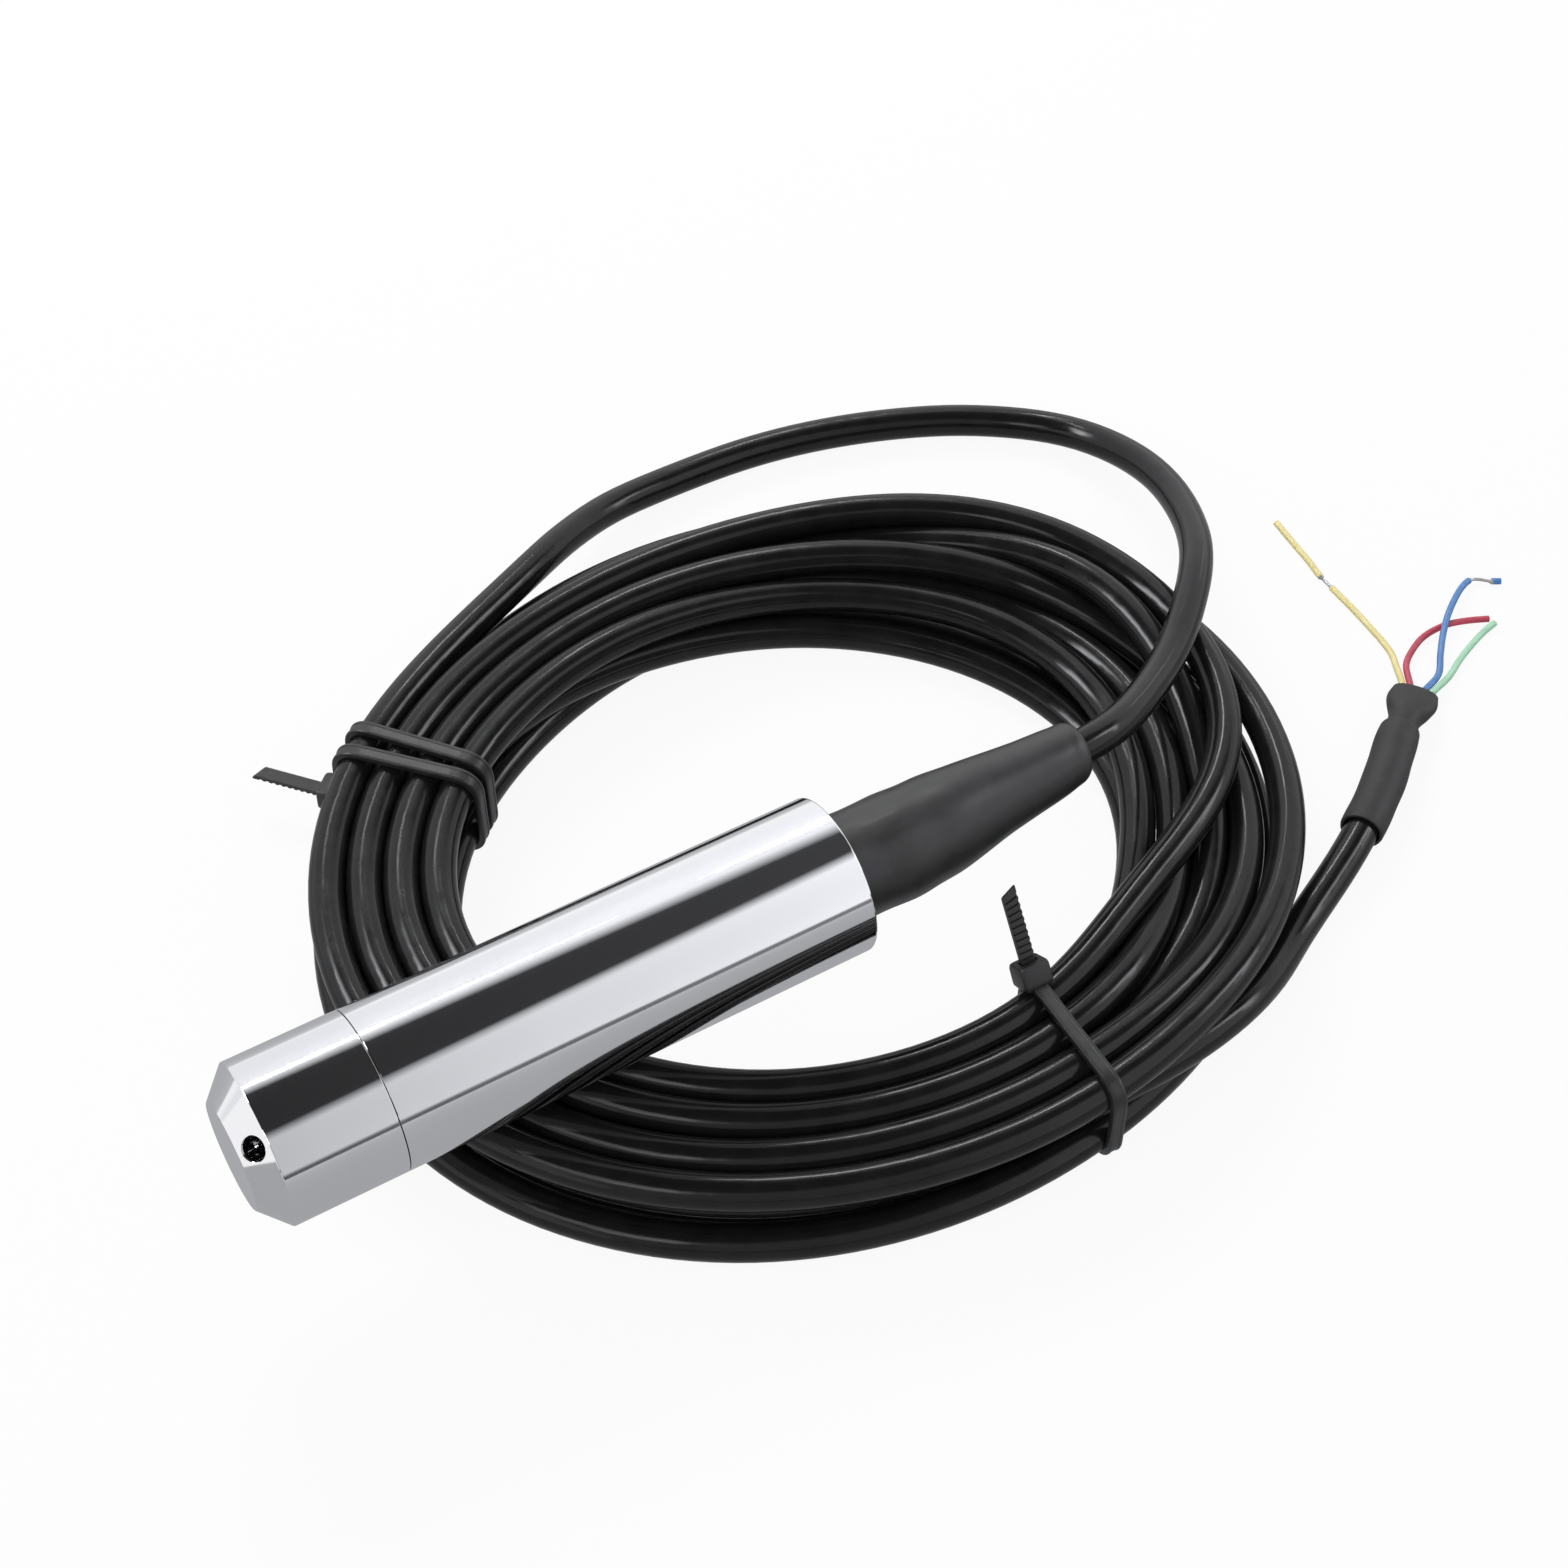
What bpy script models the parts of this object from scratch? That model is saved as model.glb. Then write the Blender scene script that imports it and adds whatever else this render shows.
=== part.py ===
"""Submersible level transmitter.

A stainless probe with a screwed nose cap, a sensing cell behind an isolation diaphragm,
its electronics and a sealed cable gland.  The cable leaves through a shrunk boot, makes
one free loop and lies in a tied coil, across which the probe rests.  The nose's flat end
face is at the origin, the probe's axis is +X and +Z is up.

Sizes are in millimetres, and MM turns them into metres where a mesh is made.
"""

import math

import bmesh
import bpy
from mathutils import Matrix, Vector

MM = 0.001
GAP = 0.3                        # clearance between two pieces that touch

# Housing and nose cap
BODY_DIAMETER = 28.0
TUBE_LENGTH = 85.3               # seam to rear rim
TUBE_WALL = 2.2
RIM_CHAMFER = 0.4
CAP_LENGTH = 23.9                # nose face to seam
CAP_WALL = 1.5
NOSE_CHAMFER_HEIGHT = 4.75
NOSE_CHAMFER_LENGTH = 4.4
CAP_FLOOR = 3.0
CHAMBER_LEDGE = 3.2              # width of the gasket's seat round the chamber
CHAMBER_DEPTH = 8.1
MOUTH_CHAMFER = 0.4
THREAD_RELIEF_LENGTH = 1.4
THREAD_RELIEF_DEPTH = 0.5
INLET_DIAMETER = 4.2
INLET_COUNT = 3
INLET_FIRST_ANGLE = 35.8         # degrees from +Z toward -Y
INLET_DEPTH = 6.4

# Gasket between nose cap and housing
GASKET_THICKNESS = 1.0
GASKET_SETBACK = 0.3             # how far its bore stands in from the chamber's wall

# Sensor cell, diaphragm and lock ring
LIP_THICKNESS = 1.6
LIP_WIDTH = 1.8
CELL_WALL = 4.2                  # housing wall round the sensor cell
CELL_LENGTH = 13.7
CELL_RECESS_DEPTH = 1.0
CELL_RIM_WIDTH = 0.8
CELL_GROOVE_START = 4.0          # from the cell's front
CELL_GROOVE_WIDTH = 2.6
CELL_O_RING_SECTION = 1.6
HEADER_RECESS_DIAMETER = 11.0
HEADER_RECESS_DEPTH = 2.0
VENT_PORT_DEPTH = 5.0
DIAPHRAGM_THICKNESS = 0.25
CORRUGATION_HEIGHT = 0.12
CORRUGATION_COUNT = 3
LOCK_RING_THICKNESS = 3.5
LOCK_RING_BORE_DIAMETER = 13.0
SPANNER_SLOT_WIDTH = 2.5
SPANNER_SLOT_DEPTH = 1.5

# Header pins, compensation board and vent tube
PIN_DIAMETER = 0.9
PIN_SPACING = 5.4
PIN_LENGTH = 8.4
COMPENSATION_BOARD_DIAMETER = 15.0
COMPENSATION_BOARD_THICKNESS = 0.8
COMPENSATION_BOARD_STANDOFF = 0.9
VENT_TUBE_DIAMETER = 1.6
VENT_TUBE_DROP = 4.2             # how far the vent tube runs below the board's middle

# Board cradle and circuit board
CRADLE_SETBACK = 5.1             # compensation board to the cradle
CRADLE_WALL = 2.7
CRADLE_TOP = 2.6
BOARD_SIDE_ROOM = 1.5            # from the cradle's outside to the board's edge
BOARD_THICKNESS = 1.6
BOARD_SETBACK = 2.0              # cradle's front end to the board
BOARD_REAR_ROOM = 8.0            # board to the cradle's rear end
BOARD_CORNER = 1.0
LEAD_DIAMETER = 1.0
LEAD_ROOT_SIDE = 4.6             # distances of the signal leads from the middle plane
LEAD_PIN_DETOUR = 0.8
LOWER_LEAD_SIDE = 6.6
UPPER_LEAD_SIDE = 3.0
CORE_PLACES = ((-2.1, 0.6), (-0.9, 1.9), (0.9, 1.9), (2.1, 0.6))   # in the cable's cut end
VENT_PLACE = -1.9                # height of the breather in the cable's cut end

# Parts on the board: sizes as length, width and height.  The parts keep their order and
# share out the free room as these gaps: along the board, and across the cradle.
ROW_GAPS = (6.7, 2.7, 0.35, 0.35, 0.8)
MIDDLE_ROW_GAPS = (1.3, 0.8, 0.25, 2.15)
TRIMMER_GAPS = (1.35, 1.9, 1.35)
BOARD_EDGE_ROOM = 0.8            # bare strip at the board's front end
LEAD_LANDING = 2.8               # length of the signal leads' ends on the board
CHIP_SIZE = (10.0, 7.5, 2.3)
CHIP_LEG_REACH = 1.6
CHIP_LEG_WIDTH = 0.7
CHIP_LEG_THICKNESS = 0.35
CHIP_LEG_PITCH = 2.54
TRANSISTOR_SIZE = (6.6, 6.1, 2.3)
TRANSISTOR_TAB = (1.2, 5.2, 0.6)
DIODE_SIZE = (4.3, 2.6, 2.3)
CAPACITOR_DIAMETER = 4.4
CAPACITOR_HEIGHT = 5.8
CAPACITOR_CRIMP = 0.3
TRIMMER_SIZE = (6.5, 6.5, 4.8)
TRIMMER_RECESS_DIAMETER = 3.6
TRIMMER_RECESS_DEPTH = 0.5
TRIMMER_SLOT = (2.4, 0.6, 0.7)
TERMINAL_LENGTH = 8.0
TERMINAL_WIDTH = 12.0
TERMINAL_HEADROOM = 2.7          # terminal block to the top of the housing's bore
TERMINAL_PITCH = 2.8
TERMINAL_ENTRY_HEIGHT = 2.4
TERMINAL_ENTRY_DEPTH = 3.0
TERMINAL_WELL_DIAMETER = 2.0
TERMINAL_WELL_DEPTH = 2.0

# Gland
PLUG_LENGTH = 15.4
PLUG_RECESS = 0.6                # rear rim to the plug's rear face
PLUG_BORE_WALL = 1.6             # housing wall round the gland
PLUG_FRONT_WALL = 2.9
PLUG_GROOVE_START = 2.0
PLUG_GROOVE_WIDTH = 2.5
PLUG_O_RING_SECTION = 1.5
SEAL_DIAMETER = 12.6
SEAL_LENGTH = 6.0
SEAL_TAPER = 0.8
WASHER_THICKNESS = 1.0
NUT_HEAD_LENGTH = 11.1
NUT_HEAD_DIAMETER = 16.8         # over its corners
NUT_ACROSS_FLATS = 14.8

# Boot: (distance from the rim, radius)
BOOT_PROFILE = ((0.0, 9.6), (3.8, 9.4), (11.5, 9.5), (16.0, 9.2), (20.3, 9.05), (26.0, 8.3),
                (32.0, 7.45), (38.0, 6.75), (47.0, 5.8), (49.5, 5.35), (50.6, 4.6))
BOOT_BEND = 2.1                  # how far the boot's tip leans toward +Y
BOOT_FLARE = 0.5                 # how much the bore opens at the tip

# Cable
CABLE_DIAMETER = 6.5
CABLE_ENTRY = 1.4                # how far the jacket reaches in past the plug
FLOOR = -33.7                    # the surface that the coil lies on
ROUTE_STEP = 13.0                # distance between the points of the cable's tubes

# Coil: ellipse of the bundle's middle and the bundle's section
COIL_CENTRE = (118.0, 25.0)
COIL_SEMI_AXES = (77.0, 66.0)
BUNDLE_WIDTH = 30.0
BUNDLE_CORNER = 8.0
TIED_WIDTH = 26.4
TIED_REACH = 7.0                 # degrees each side of a tie that stay fully tied
TIED_FADE = 13.0                 # degrees over which the bundle spreads again
COIL_STATIONS = 54

# Cable ties: angles round the coil in degrees
BAND_WIDTH = 2.6
BAND_THICKNESS = 1.3
TIE_SIDE_CLEARANCE = 0.75
LEFT_TIE_ANGLE = 135.0
LEFT_TIE_SPREAD = 2.0
RIGHT_TIE_ANGLE = 280.4
RIGHT_TIE_SKEW = -10.0
LEFT_FRONT_HEAD_ANGLE = 0.0      # in the tie's plane, from outward toward up
LEFT_REAR_HEAD_ANGLE = -28.0
RIGHT_HEAD_ANGLE = 124.0
LEFT_FRONT_TAIL = 16.0           # length of each tail from its band
LEFT_REAR_TAIL = 4.6
RIGHT_TAIL = 21.0
HEAD_WIDTH = 4.8
HEAD_LENGTH = 4.4
HEAD_HEIGHT = 4.0
HEAD_SINK = 0.15                 # how far the head's base stands above the band's inner face
TAIL_WIDTH = 2.4
TAIL_THICKNESS = 1.1
TAIL_SLANT = 1.3
TOOTH_PITCH = 1.2
TOOTH_DEPTH = 0.35

# Sleeves and conductors at the cable's free end
SLEEVE_THICKNESS = 0.55
BREAKOUT_WALL = 0.6
CONDUCTOR_DIAMETER = 1.3

# Route of the cable after the boot, up to the coil
LOOP_ROUTE = ((168.3, 3.7, -1.3), (181.1, 10.7, -5.6), (194.5, 19.9, -9.4), (204.3, 28.6, -10.6),
              (213.9, 38.9, -12.8), (221.7, 51.9, -17.2), (227.3, 69.1, -22.6), (227.2, 84.5, -27.0),
              (222.5, 97.0, -29.8), (214.1, 104.9, -30.35), (204.4, 111.2, -30.35),
              (184.4, 119.4, -30.35), (165.1, 123.6, -30.35), (145.7, 124.0, -29.8),
              (125.8, 119.4, -26.6), (115.3, 114.2, -23.4), (108.4, 110.5, -22.2))

# Route of the tail, from the coil's side to inside the sleeve
TAIL_ROUTE = ((183.7, -34.0, -30.35), (194.6, -28.8, -30.35), (203.7, -24.3, -30.1),
              (209.8, -20.9, -29.6), (215.7, -17.2, -29.55), (221.9, -12.8, -29.55),
              (229.3, -6.9, -29.55))

# Route of the sleeve's middle line, from its open end to its shoulder
SLEEVE_ROUTE = ((209.8, -20.9, -29.55), (215.7, -17.2, -29.55), (221.9, -12.8, -29.55),
                (228.2, -7.7, -29.55), (233.4, -3.85, -29.6))

# Breakout sleeve: (distance behind its rim, height of its middle, half width, half height)
BREAKOUT_RIM = (241.4, 1.95, -31.2)
BREAKOUT_HEADING = 35.9          # degrees from +X toward +Y
BREAKOUT_SECTIONS = ((13.0, -29.6, 3.1, 2.9), (9.0, -29.8, 3.2, 2.95), (6.5, -30.2, 4.2, 2.9),
                     (3.5, -30.7, 4.85, 2.5), (0.0, -31.2, 4.35, 1.7))

# Conductors in it: (distance behind its rim, height, how far spread in a row, how far stacked)
CONDUCTOR_STAGES = ((13.4, -29.6, 0.0, 1.0), (9.6, -29.75, 0.0, 1.0), (6.8, -30.15, 0.5, 1.0),
                    (3.9, -30.6, 1.0, 0.4), (0.0, -31.2, 1.0, 0.0))
BUNDLED_PLACE = 0.85

# Conductors: colour, place in the breakout's row, height in the cable, route on the surface
CONDUCTORS = (
    ("yellow", 2.7, 0.8, ((243.6, 11.9, -32.1), (245.1, 16.0, -32.8), (245.9, 22.6, -32.9),
                           (246.2, 28.1, -32.9), (245.8, 33.1, -32.9), (245.8, 36.6, -32.9),
                           (246.3, 41.2, -32.9), (247.0, 46.4, -32.9), (247.5, 55.0, -32.9))),
    ("red", 1.15, -0.8, ((245.7, 9.6, -32.1), (249.7, 12.2, -32.8), (253.3, 13.5, -32.9),
                         (258.0, 13.9, -32.9), (262.6, 12.9, -32.9), (268.6, 11.2, -32.9))),
    ("blue", -1.15, 0.8, ((246.9, 3.2, -31.0), (250.2, 6.2, -31.0), (253.6, 9.3, -31.0),
                          (257.5, 12.9, -31.0), (262.3, 16.7, -31.3), (267.4, 19.9, -32.3),
                          (270.4, 20.9, -32.8), (272.6, 19.9, -32.9), (275.8, 17.9, -32.9))),
    ("green", -2.7, -0.8, ((250.3, 2.4, -32.1), (255.6, 5.0, -32.8), (262.4, 7.6, -32.9),
                            (268.4, 8.6, -32.9))),
)

# Places along the probe's axis, each from the piece before it
BODY_RADIUS = BODY_DIAMETER / 2
SEAM = CAP_LENGTH
RIM = SEAM + TUBE_LENGTH
NOSE_FACE_RADIUS = BODY_RADIUS - NOSE_CHAMFER_HEIGHT
CHAMBER_END = CAP_FLOOR + CHAMBER_DEPTH
GASKET_FRONT = CHAMBER_END + GAP
SPIGOT_FRONT = GASKET_FRONT + GASKET_THICKNESS + GAP
CAP_BORE_RADIUS = BODY_RADIUS - CAP_WALL
CHAMBER_RADIUS = CAP_BORE_RADIUS - CHAMBER_LEDGE
SPIGOT_RADIUS = CAP_BORE_RADIUS - GAP
LIP_BACK = SPIGOT_FRONT + LIP_THICKNESS
CELL_FRONT = LIP_BACK + GAP
CELL_BACK = CELL_FRONT + CELL_LENGTH
CELL_BORE_END = CELL_BACK - GAP
CELL_BORE_RADIUS = BODY_RADIUS - CELL_WALL
CELL_RADIUS = CELL_BORE_RADIUS - GAP
CELL_RECESS_RADIUS = CELL_RADIUS - CELL_RIM_WIDTH
VENT_BORE_RADIUS = VENT_TUBE_DIAMETER / 2 + GAP
LOCK_RING_FRONT = CELL_BACK + GAP
LOCK_RING_BACK = LOCK_RING_FRONT + LOCK_RING_THICKNESS
TUBE_BORE_RADIUS = BODY_RADIUS - TUBE_WALL
PIN_FRONT = CELL_BACK - HEADER_RECESS_DEPTH + GAP
COMPENSATION_BOARD_FRONT = LOCK_RING_BACK + COMPENSATION_BOARD_STANDOFF
COMPENSATION_BOARD_BACK = COMPENSATION_BOARD_FRONT + COMPENSATION_BOARD_THICKNESS
PLUG_BORE_RADIUS = BODY_RADIUS - PLUG_BORE_WALL
PLUG_RADIUS = PLUG_BORE_RADIUS - GAP
PLUG_BACK = RIM - PLUG_RECESS
PLUG_FRONT = PLUG_BACK - PLUG_LENGTH
PLUG_SEAT = PLUG_FRONT - GAP
CABLE_RADIUS = CABLE_DIAMETER / 2
CABLE_BORE_RADIUS = CABLE_RADIUS + GAP
CABLE_START = PLUG_FRONT - CABLE_ENTRY
SEAL_POCKET_FRONT = PLUG_FRONT + PLUG_FRONT_WALL
SEAL_RADIUS = SEAL_DIAMETER / 2
SEAL_FRONT = SEAL_POCKET_FRONT + GAP
WASHER_FRONT = SEAL_FRONT + SEAL_LENGTH + GAP
NUT_FRONT = WASHER_FRONT + WASHER_THICKNESS + GAP
NUT_SHOULDER = PLUG_BACK + GAP
NUT_BACK = NUT_SHOULDER + NUT_HEAD_LENGTH
BOOT_FRONT = RIM + GAP
BOOT_TIP = BOOT_FRONT + BOOT_PROFILE[-1][0]
CRADLE_BACK = PLUG_FRONT - GAP
CRADLE_FRONT = COMPENSATION_BOARD_BACK + CRADLE_SETBACK
CRADLE_LENGTH = CRADLE_BACK - CRADLE_FRONT
CRADLE_RADIUS = TUBE_BORE_RADIUS - GAP
CRADLE_INNER_RADIUS = CRADLE_RADIUS - CRADLE_WALL
BOARD_FRONT = CRADLE_FRONT + BOARD_SETBACK
BOARD_LENGTH = CRADLE_LENGTH - BOARD_SETBACK - BOARD_REAR_ROOM
BOARD_HALF_WIDTH = CRADLE_RADIUS - BOARD_SIDE_ROOM
BOARD_TOP = BOARD_THICKNESS / 2
PART_SEAT = BOARD_TOP + GAP
TERMINAL_HEIGHT = TUBE_BORE_RADIUS - PART_SEAT - TERMINAL_HEADROOM
TERMINAL_SIZE = (TERMINAL_LENGTH, TERMINAL_WIDTH, TERMINAL_HEIGHT)
ROW_LENGTHS = (CHIP_SIZE[0], TRANSISTOR_SIZE[0] + TRANSISTOR_TAB[0], TRIMMER_SIZE[0],
               TERMINAL_SIZE[0])


def shared_gaps(start, room, sizes, gaps):
    """Centres of pieces in a row from start, and the scale that fits the gaps to the room."""
    scale = (room - sum(sizes)) / sum(gaps)
    centres = []
    for size, gap in zip(sizes, gaps):
        centres.append(start + gap * scale + size / 2)
        start = centres[-1] + size / 2
    return centres, scale


(CHIP_PLACE, MIDDLE_ROW_MIDDLE, TRIMMER_PLACE, TERMINAL_PLACE), ROW_GAP_SCALE = shared_gaps(
    BOARD_EDGE_ROOM, BOARD_LENGTH - BOARD_EDGE_ROOM, ROW_LENGTHS, ROW_GAPS)
MIDDLE_ROW_PLACE = MIDDLE_ROW_MIDDLE - TRANSISTOR_TAB[0] / 2
(DIODE_SIDE, CAPACITOR_SIDE, TRANSISTOR_SIDE), _ = shared_gaps(
    -CRADLE_INNER_RADIUS, 2 * CRADLE_INNER_RADIUS,
    (DIODE_SIZE[1], CAPACITOR_DIAMETER, TRANSISTOR_SIZE[1]), MIDDLE_ROW_GAPS)
(SPAN_TRIMMER_SIDE, ZERO_TRIMMER_SIDE), _ = shared_gaps(
    -CRADLE_INNER_RADIUS, 2 * CRADLE_INNER_RADIUS, (TRIMMER_SIZE[1], TRIMMER_SIZE[1]),
    TRIMMER_GAPS)

# Heights of the coil and its ties
COIL_TOP = -BODY_RADIUS - GAP
TIED_BOTTOM = FLOOR + BAND_THICKNESS + GAP
TIE_INNER_HEIGHT = COIL_TOP - TIED_BOTTOM + 2 * GAP
TIE_MIDDLE = (COIL_TOP + TIED_BOTTOM) / 2
TIE_INNER_WIDTH = TIED_WIDTH + 2 * TIE_SIDE_CLEARANCE


def clear_scene():
    """Remove whatever the file held."""
    for thing in list(bpy.data.objects):
        bpy.data.objects.remove(thing, do_unlink=True)


def material(name, colour, roughness, metallic=0.0):
    """A Principled material with one colour, roughness and metallic value."""
    made = bpy.data.materials.get(name) or bpy.data.materials.new(name)
    made.use_nodes = True
    shader = made.node_tree.nodes["Principled BSDF"]
    shader.inputs["Base Color"].default_value = (*colour, 1.0)
    shader.inputs["Roughness"].default_value = roughness
    shader.inputs["Metallic"].default_value = metallic
    return made


def polished_steel():
    return material("polished_steel", (0.78, 0.78, 0.80), 0.10, 1.0)


def bright_steel():
    return material("bright_steel", (0.70, 0.70, 0.72), 0.25, 1.0)


def black_rubber():
    return material("black_rubber", (0.02, 0.02, 0.02), 0.55)


def boot_polymer():
    return material("boot_polymer", (0.045, 0.045, 0.045), 0.45)


def cable_jacket():
    return material("cable_jacket", (0.012, 0.012, 0.013), 0.28)


def sleeve_polymer():
    return material("sleeve_polymer", (0.05, 0.05, 0.052), 0.6)


def tie_nylon():
    return material("tie_nylon", (0.02, 0.02, 0.02), 0.4)


def board_laminate():
    return material("board_laminate", (0.02, 0.18, 0.07), 0.4)


def component_body():
    return material("component_body", (0.03, 0.03, 0.035), 0.5)


def trimmer_body():
    return material("trimmer_body", (0.05, 0.16, 0.55), 0.4)


def terminal_body():
    return material("terminal_body", (0.05, 0.35, 0.12), 0.45)


def cradle_polymer():
    return material("cradle_polymer", (0.72, 0.70, 0.64), 0.5)


def vent_polymer():
    return material("vent_polymer", (0.80, 0.80, 0.78), 0.35)


def wire_insulation(colour_name):
    colours = {"yellow": (0.85, 0.72, 0.10), "red": (0.60, 0.03, 0.06),
               "blue": (0.05, 0.20, 0.55), "green": (0.20, 0.55, 0.25)}
    return material("insulation_" + colour_name, colours[colour_name], 0.45)


def add_object(name, data, finish, place=(0.0, 0.0, 0.0), parent=None):
    """Link a mesh or curve as a named object with its material, at a place in mm."""
    data.materials.append(finish)
    made = bpy.data.objects.new(name, data)
    bpy.context.scene.collection.objects.link(made)
    made.location = Vector(place) * MM
    made.parent = parent
    return made


def mesh_from(name, bm, sharp_angle=35.0):
    """Turn a bmesh in mm into a smooth-shaded mesh in metres with outward faces."""
    bmesh.ops.recalc_face_normals(bm, faces=bm.faces)
    bmesh.ops.scale(bm, vec=(MM, MM, MM), verts=bm.verts)
    mesh = bpy.data.meshes.new(name)
    bm.to_mesh(mesh)
    bm.free()
    mesh.shade_smooth()
    mesh.set_sharp_from_angle(angle=math.radians(sharp_angle))
    return mesh


def turned_mesh(name, profile, segments=36):
    """Spin a profile of (x, radius) points round the X axis into a closed body.

    The outline closes itself, unless both of its ends lie on the axis.
    """
    bm = bmesh.new()
    points = [bm.verts.new((x, 0.0, radius)) for x, radius in profile]
    edges = [bm.edges.new(pair) for pair in zip(points, points[1:])]
    if profile[0][1] > 0 or profile[-1][1] > 0:
        edges.append(bm.edges.new((points[-1], points[0])))
    bmesh.ops.spin(bm, geom=points + edges, cent=(0, 0, 0), axis=(1, 0, 0), dvec=(0, 0, 0),
                   angle=2 * math.pi, steps=segments, use_merge=True, use_duplicate=False)
    bmesh.ops.remove_doubles(bm, verts=bm.verts, dist=1e-4)
    return mesh_from(name, bm)


def turned(name, profile, finish, parent=None, segments=36, at=0.0):
    return add_object(name, turned_mesh(name, profile, segments), finish, (at, 0, 0), parent)


def skin_rings(bm, rings, closed):
    """Join rings of points by quads.  An open row of rings gets flat caps."""
    rows = [[bm.verts.new(point) for point in ring] for ring in rings]
    pairs = list(zip(rows, rows[1:]))
    if closed:
        pairs.append((rows[-1], rows[0]))
    for first, second in pairs:
        for i in range(len(first)):
            j = (i + 1) % len(first)
            bm.faces.new((first[i], first[j], second[j], second[i]))
    if not closed:
        bm.faces.new(reversed(rows[0]))
        bm.faces.new(rows[-1])


def extruded_mesh(name, outline, length, bevel=0.0):
    """Extrude a closed (y, z) outline along +X from x = 0."""
    bm = bmesh.new()
    front = bm.faces.new([bm.verts.new((0.0, y, z)) for y, z in outline])
    grown = bmesh.ops.extrude_face_region(bm, geom=[front])
    moved = [item for item in grown["geom"] if isinstance(item, bmesh.types.BMVert)]
    bmesh.ops.translate(bm, verts=moved, vec=(length, 0, 0))
    if bevel:
        bmesh.ops.bevel(bm, geom=list(bm.edges), offset=bevel, segments=1, affect="EDGES")
    return mesh_from(name, bm)


def rectangle(width, height, base=0.0):
    """Corners of a rectangle centred in y that stands on z = base."""
    half = width / 2
    return [(-half, base), (half, base), (half, base + height), (-half, base + height)]


def block(name, size, finish, place, parent, bevel=0.3):
    """A bevelled block whose middle of the underside is at its place."""
    length, width, height = size
    mesh = extruded_mesh(name, rectangle(width, height), length, bevel)
    mesh.transform(Matrix.Translation((-length / 2 * MM, 0, 0)))
    return add_object(name, mesh, finish, place, parent)


def drill_mesh(name, holes, segments=16):
    """Cylinders for a cutter, each given by its mouth, direction, diameter and depth."""
    bm = bmesh.new()
    for mouth, direction, diameter, depth in holes:
        heading = Vector(direction).normalized()
        turn = Vector((0, 0, 1)).rotation_difference(heading).to_matrix().to_4x4()
        middle = Vector(mouth) + heading * depth / 2
        bmesh.ops.create_cone(bm, cap_ends=True, segments=segments, radius1=diameter / 2,
                              radius2=diameter / 2, depth=depth,
                              matrix=Matrix.Translation(middle) @ turn)
    return mesh_from(name, bm)


def boolean(target, tool_mesh, operation, place=None):
    """Add an exact Boolean of a hidden tool object that shares the target's place."""
    tool = bpy.data.objects.new(target.name + "_" + operation.lower() + "_tool", tool_mesh)
    bpy.context.scene.collection.objects.link(tool)
    tool.location = target.location if place is None else Vector(place) * MM
    tool.rotation_euler = target.rotation_euler
    tool.parent = target.parent
    tool.hide_render = True
    tool.display_type = "WIRE"
    step = target.modifiers.new(operation.title(), "BOOLEAN")
    step.operation = operation
    step.solver = "EXACT"
    step.object = tool


def smooth_points(points, step):
    """Read points every step mm from a Catmull-Rom curve through the given points."""
    given = [Vector(point) for point in points]
    padded = [2 * given[0] - given[1], *given, 2 * given[-1] - given[-2]]
    dense = []
    for before, start, end, after in zip(padded, padded[1:], padded[2:], padded[3:]):
        for i in range(16):
            u = i / 16
            dense.append(0.5 * (2 * start + (end - before) * u
                                + (2 * before - 5 * start + 4 * end - after) * u ** 2
                                + (3 * start - before - 3 * end + after) * u ** 3))
    dense.append(given[-1])
    reach = [0.0]
    for first, second in zip(dense, dense[1:]):
        reach.append(reach[-1] + (second - first).length)
    count = max(2, round(reach[-1] / step))
    read = []
    place = 0
    for i in range(count + 1):
        wanted = reach[-1] * i / count
        while place < len(reach) - 2 and reach[place + 1] < wanted:
            place += 1
        part = (wanted - reach[place]) / (reach[place + 1] - reach[place])
        read.append(dense[place].lerp(dense[place + 1], part))
    return read


def tube(name, points, diameter, finish, parent, resolution=2):
    """A plain tube along points: a poly curve with a round bevel and filled caps."""
    curve = bpy.data.curves.new(name, "CURVE")
    curve.dimensions = "3D"
    curve.bevel_depth = diameter / 2 * MM
    curve.bevel_resolution = resolution
    curve.use_fill_caps = True
    spline = curve.splines.new("POLY")
    spline.points.add(len(points) - 1)
    for target, point in zip(spline.points, points):
        target.co = (*(Vector(point) * MM), 1.0)
    return add_object(name, curve, finish, parent=parent)


def circle_profile(x, radius, section, steps=8):
    """Outline of an O-ring's round section in (x, radius)."""
    return [(x + section / 2 * math.cos(turn), radius + section / 2 * math.sin(turn))
            for turn in (2 * math.pi * i / steps for i in range(steps))]


def collar_profile(front, back, bore, radius, edge=0.2):
    """Outline of a plain ring with chamfered outer edges."""
    return [(front, bore), (front, radius - edge), (front + edge, radius),
            (back - edge, radius), (back, radius - edge), (back, bore)]


# Housing


def make_nose_cap(parent):
    face = NOSE_FACE_RADIUS
    chamber = CHAMBER_RADIUS
    mouth = SEAM - GAP / 2
    profile = [(0, 0), (0, face), (NOSE_CHAMFER_LENGTH, BODY_RADIUS), (mouth, BODY_RADIUS),
               (mouth, CAP_BORE_RADIUS + MOUTH_CHAMFER), (mouth - MOUTH_CHAMFER, CAP_BORE_RADIUS),
               (CHAMBER_END, CAP_BORE_RADIUS), (CHAMBER_END, chamber), (CAP_FLOOR, chamber),
               (CAP_FLOOR, 0)]
    cap = turned("nose_cap", profile, polished_steel(), parent)
    boolean(cap, drill_mesh("inlets", inlet_holes(face)), "DIFFERENCE")


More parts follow.
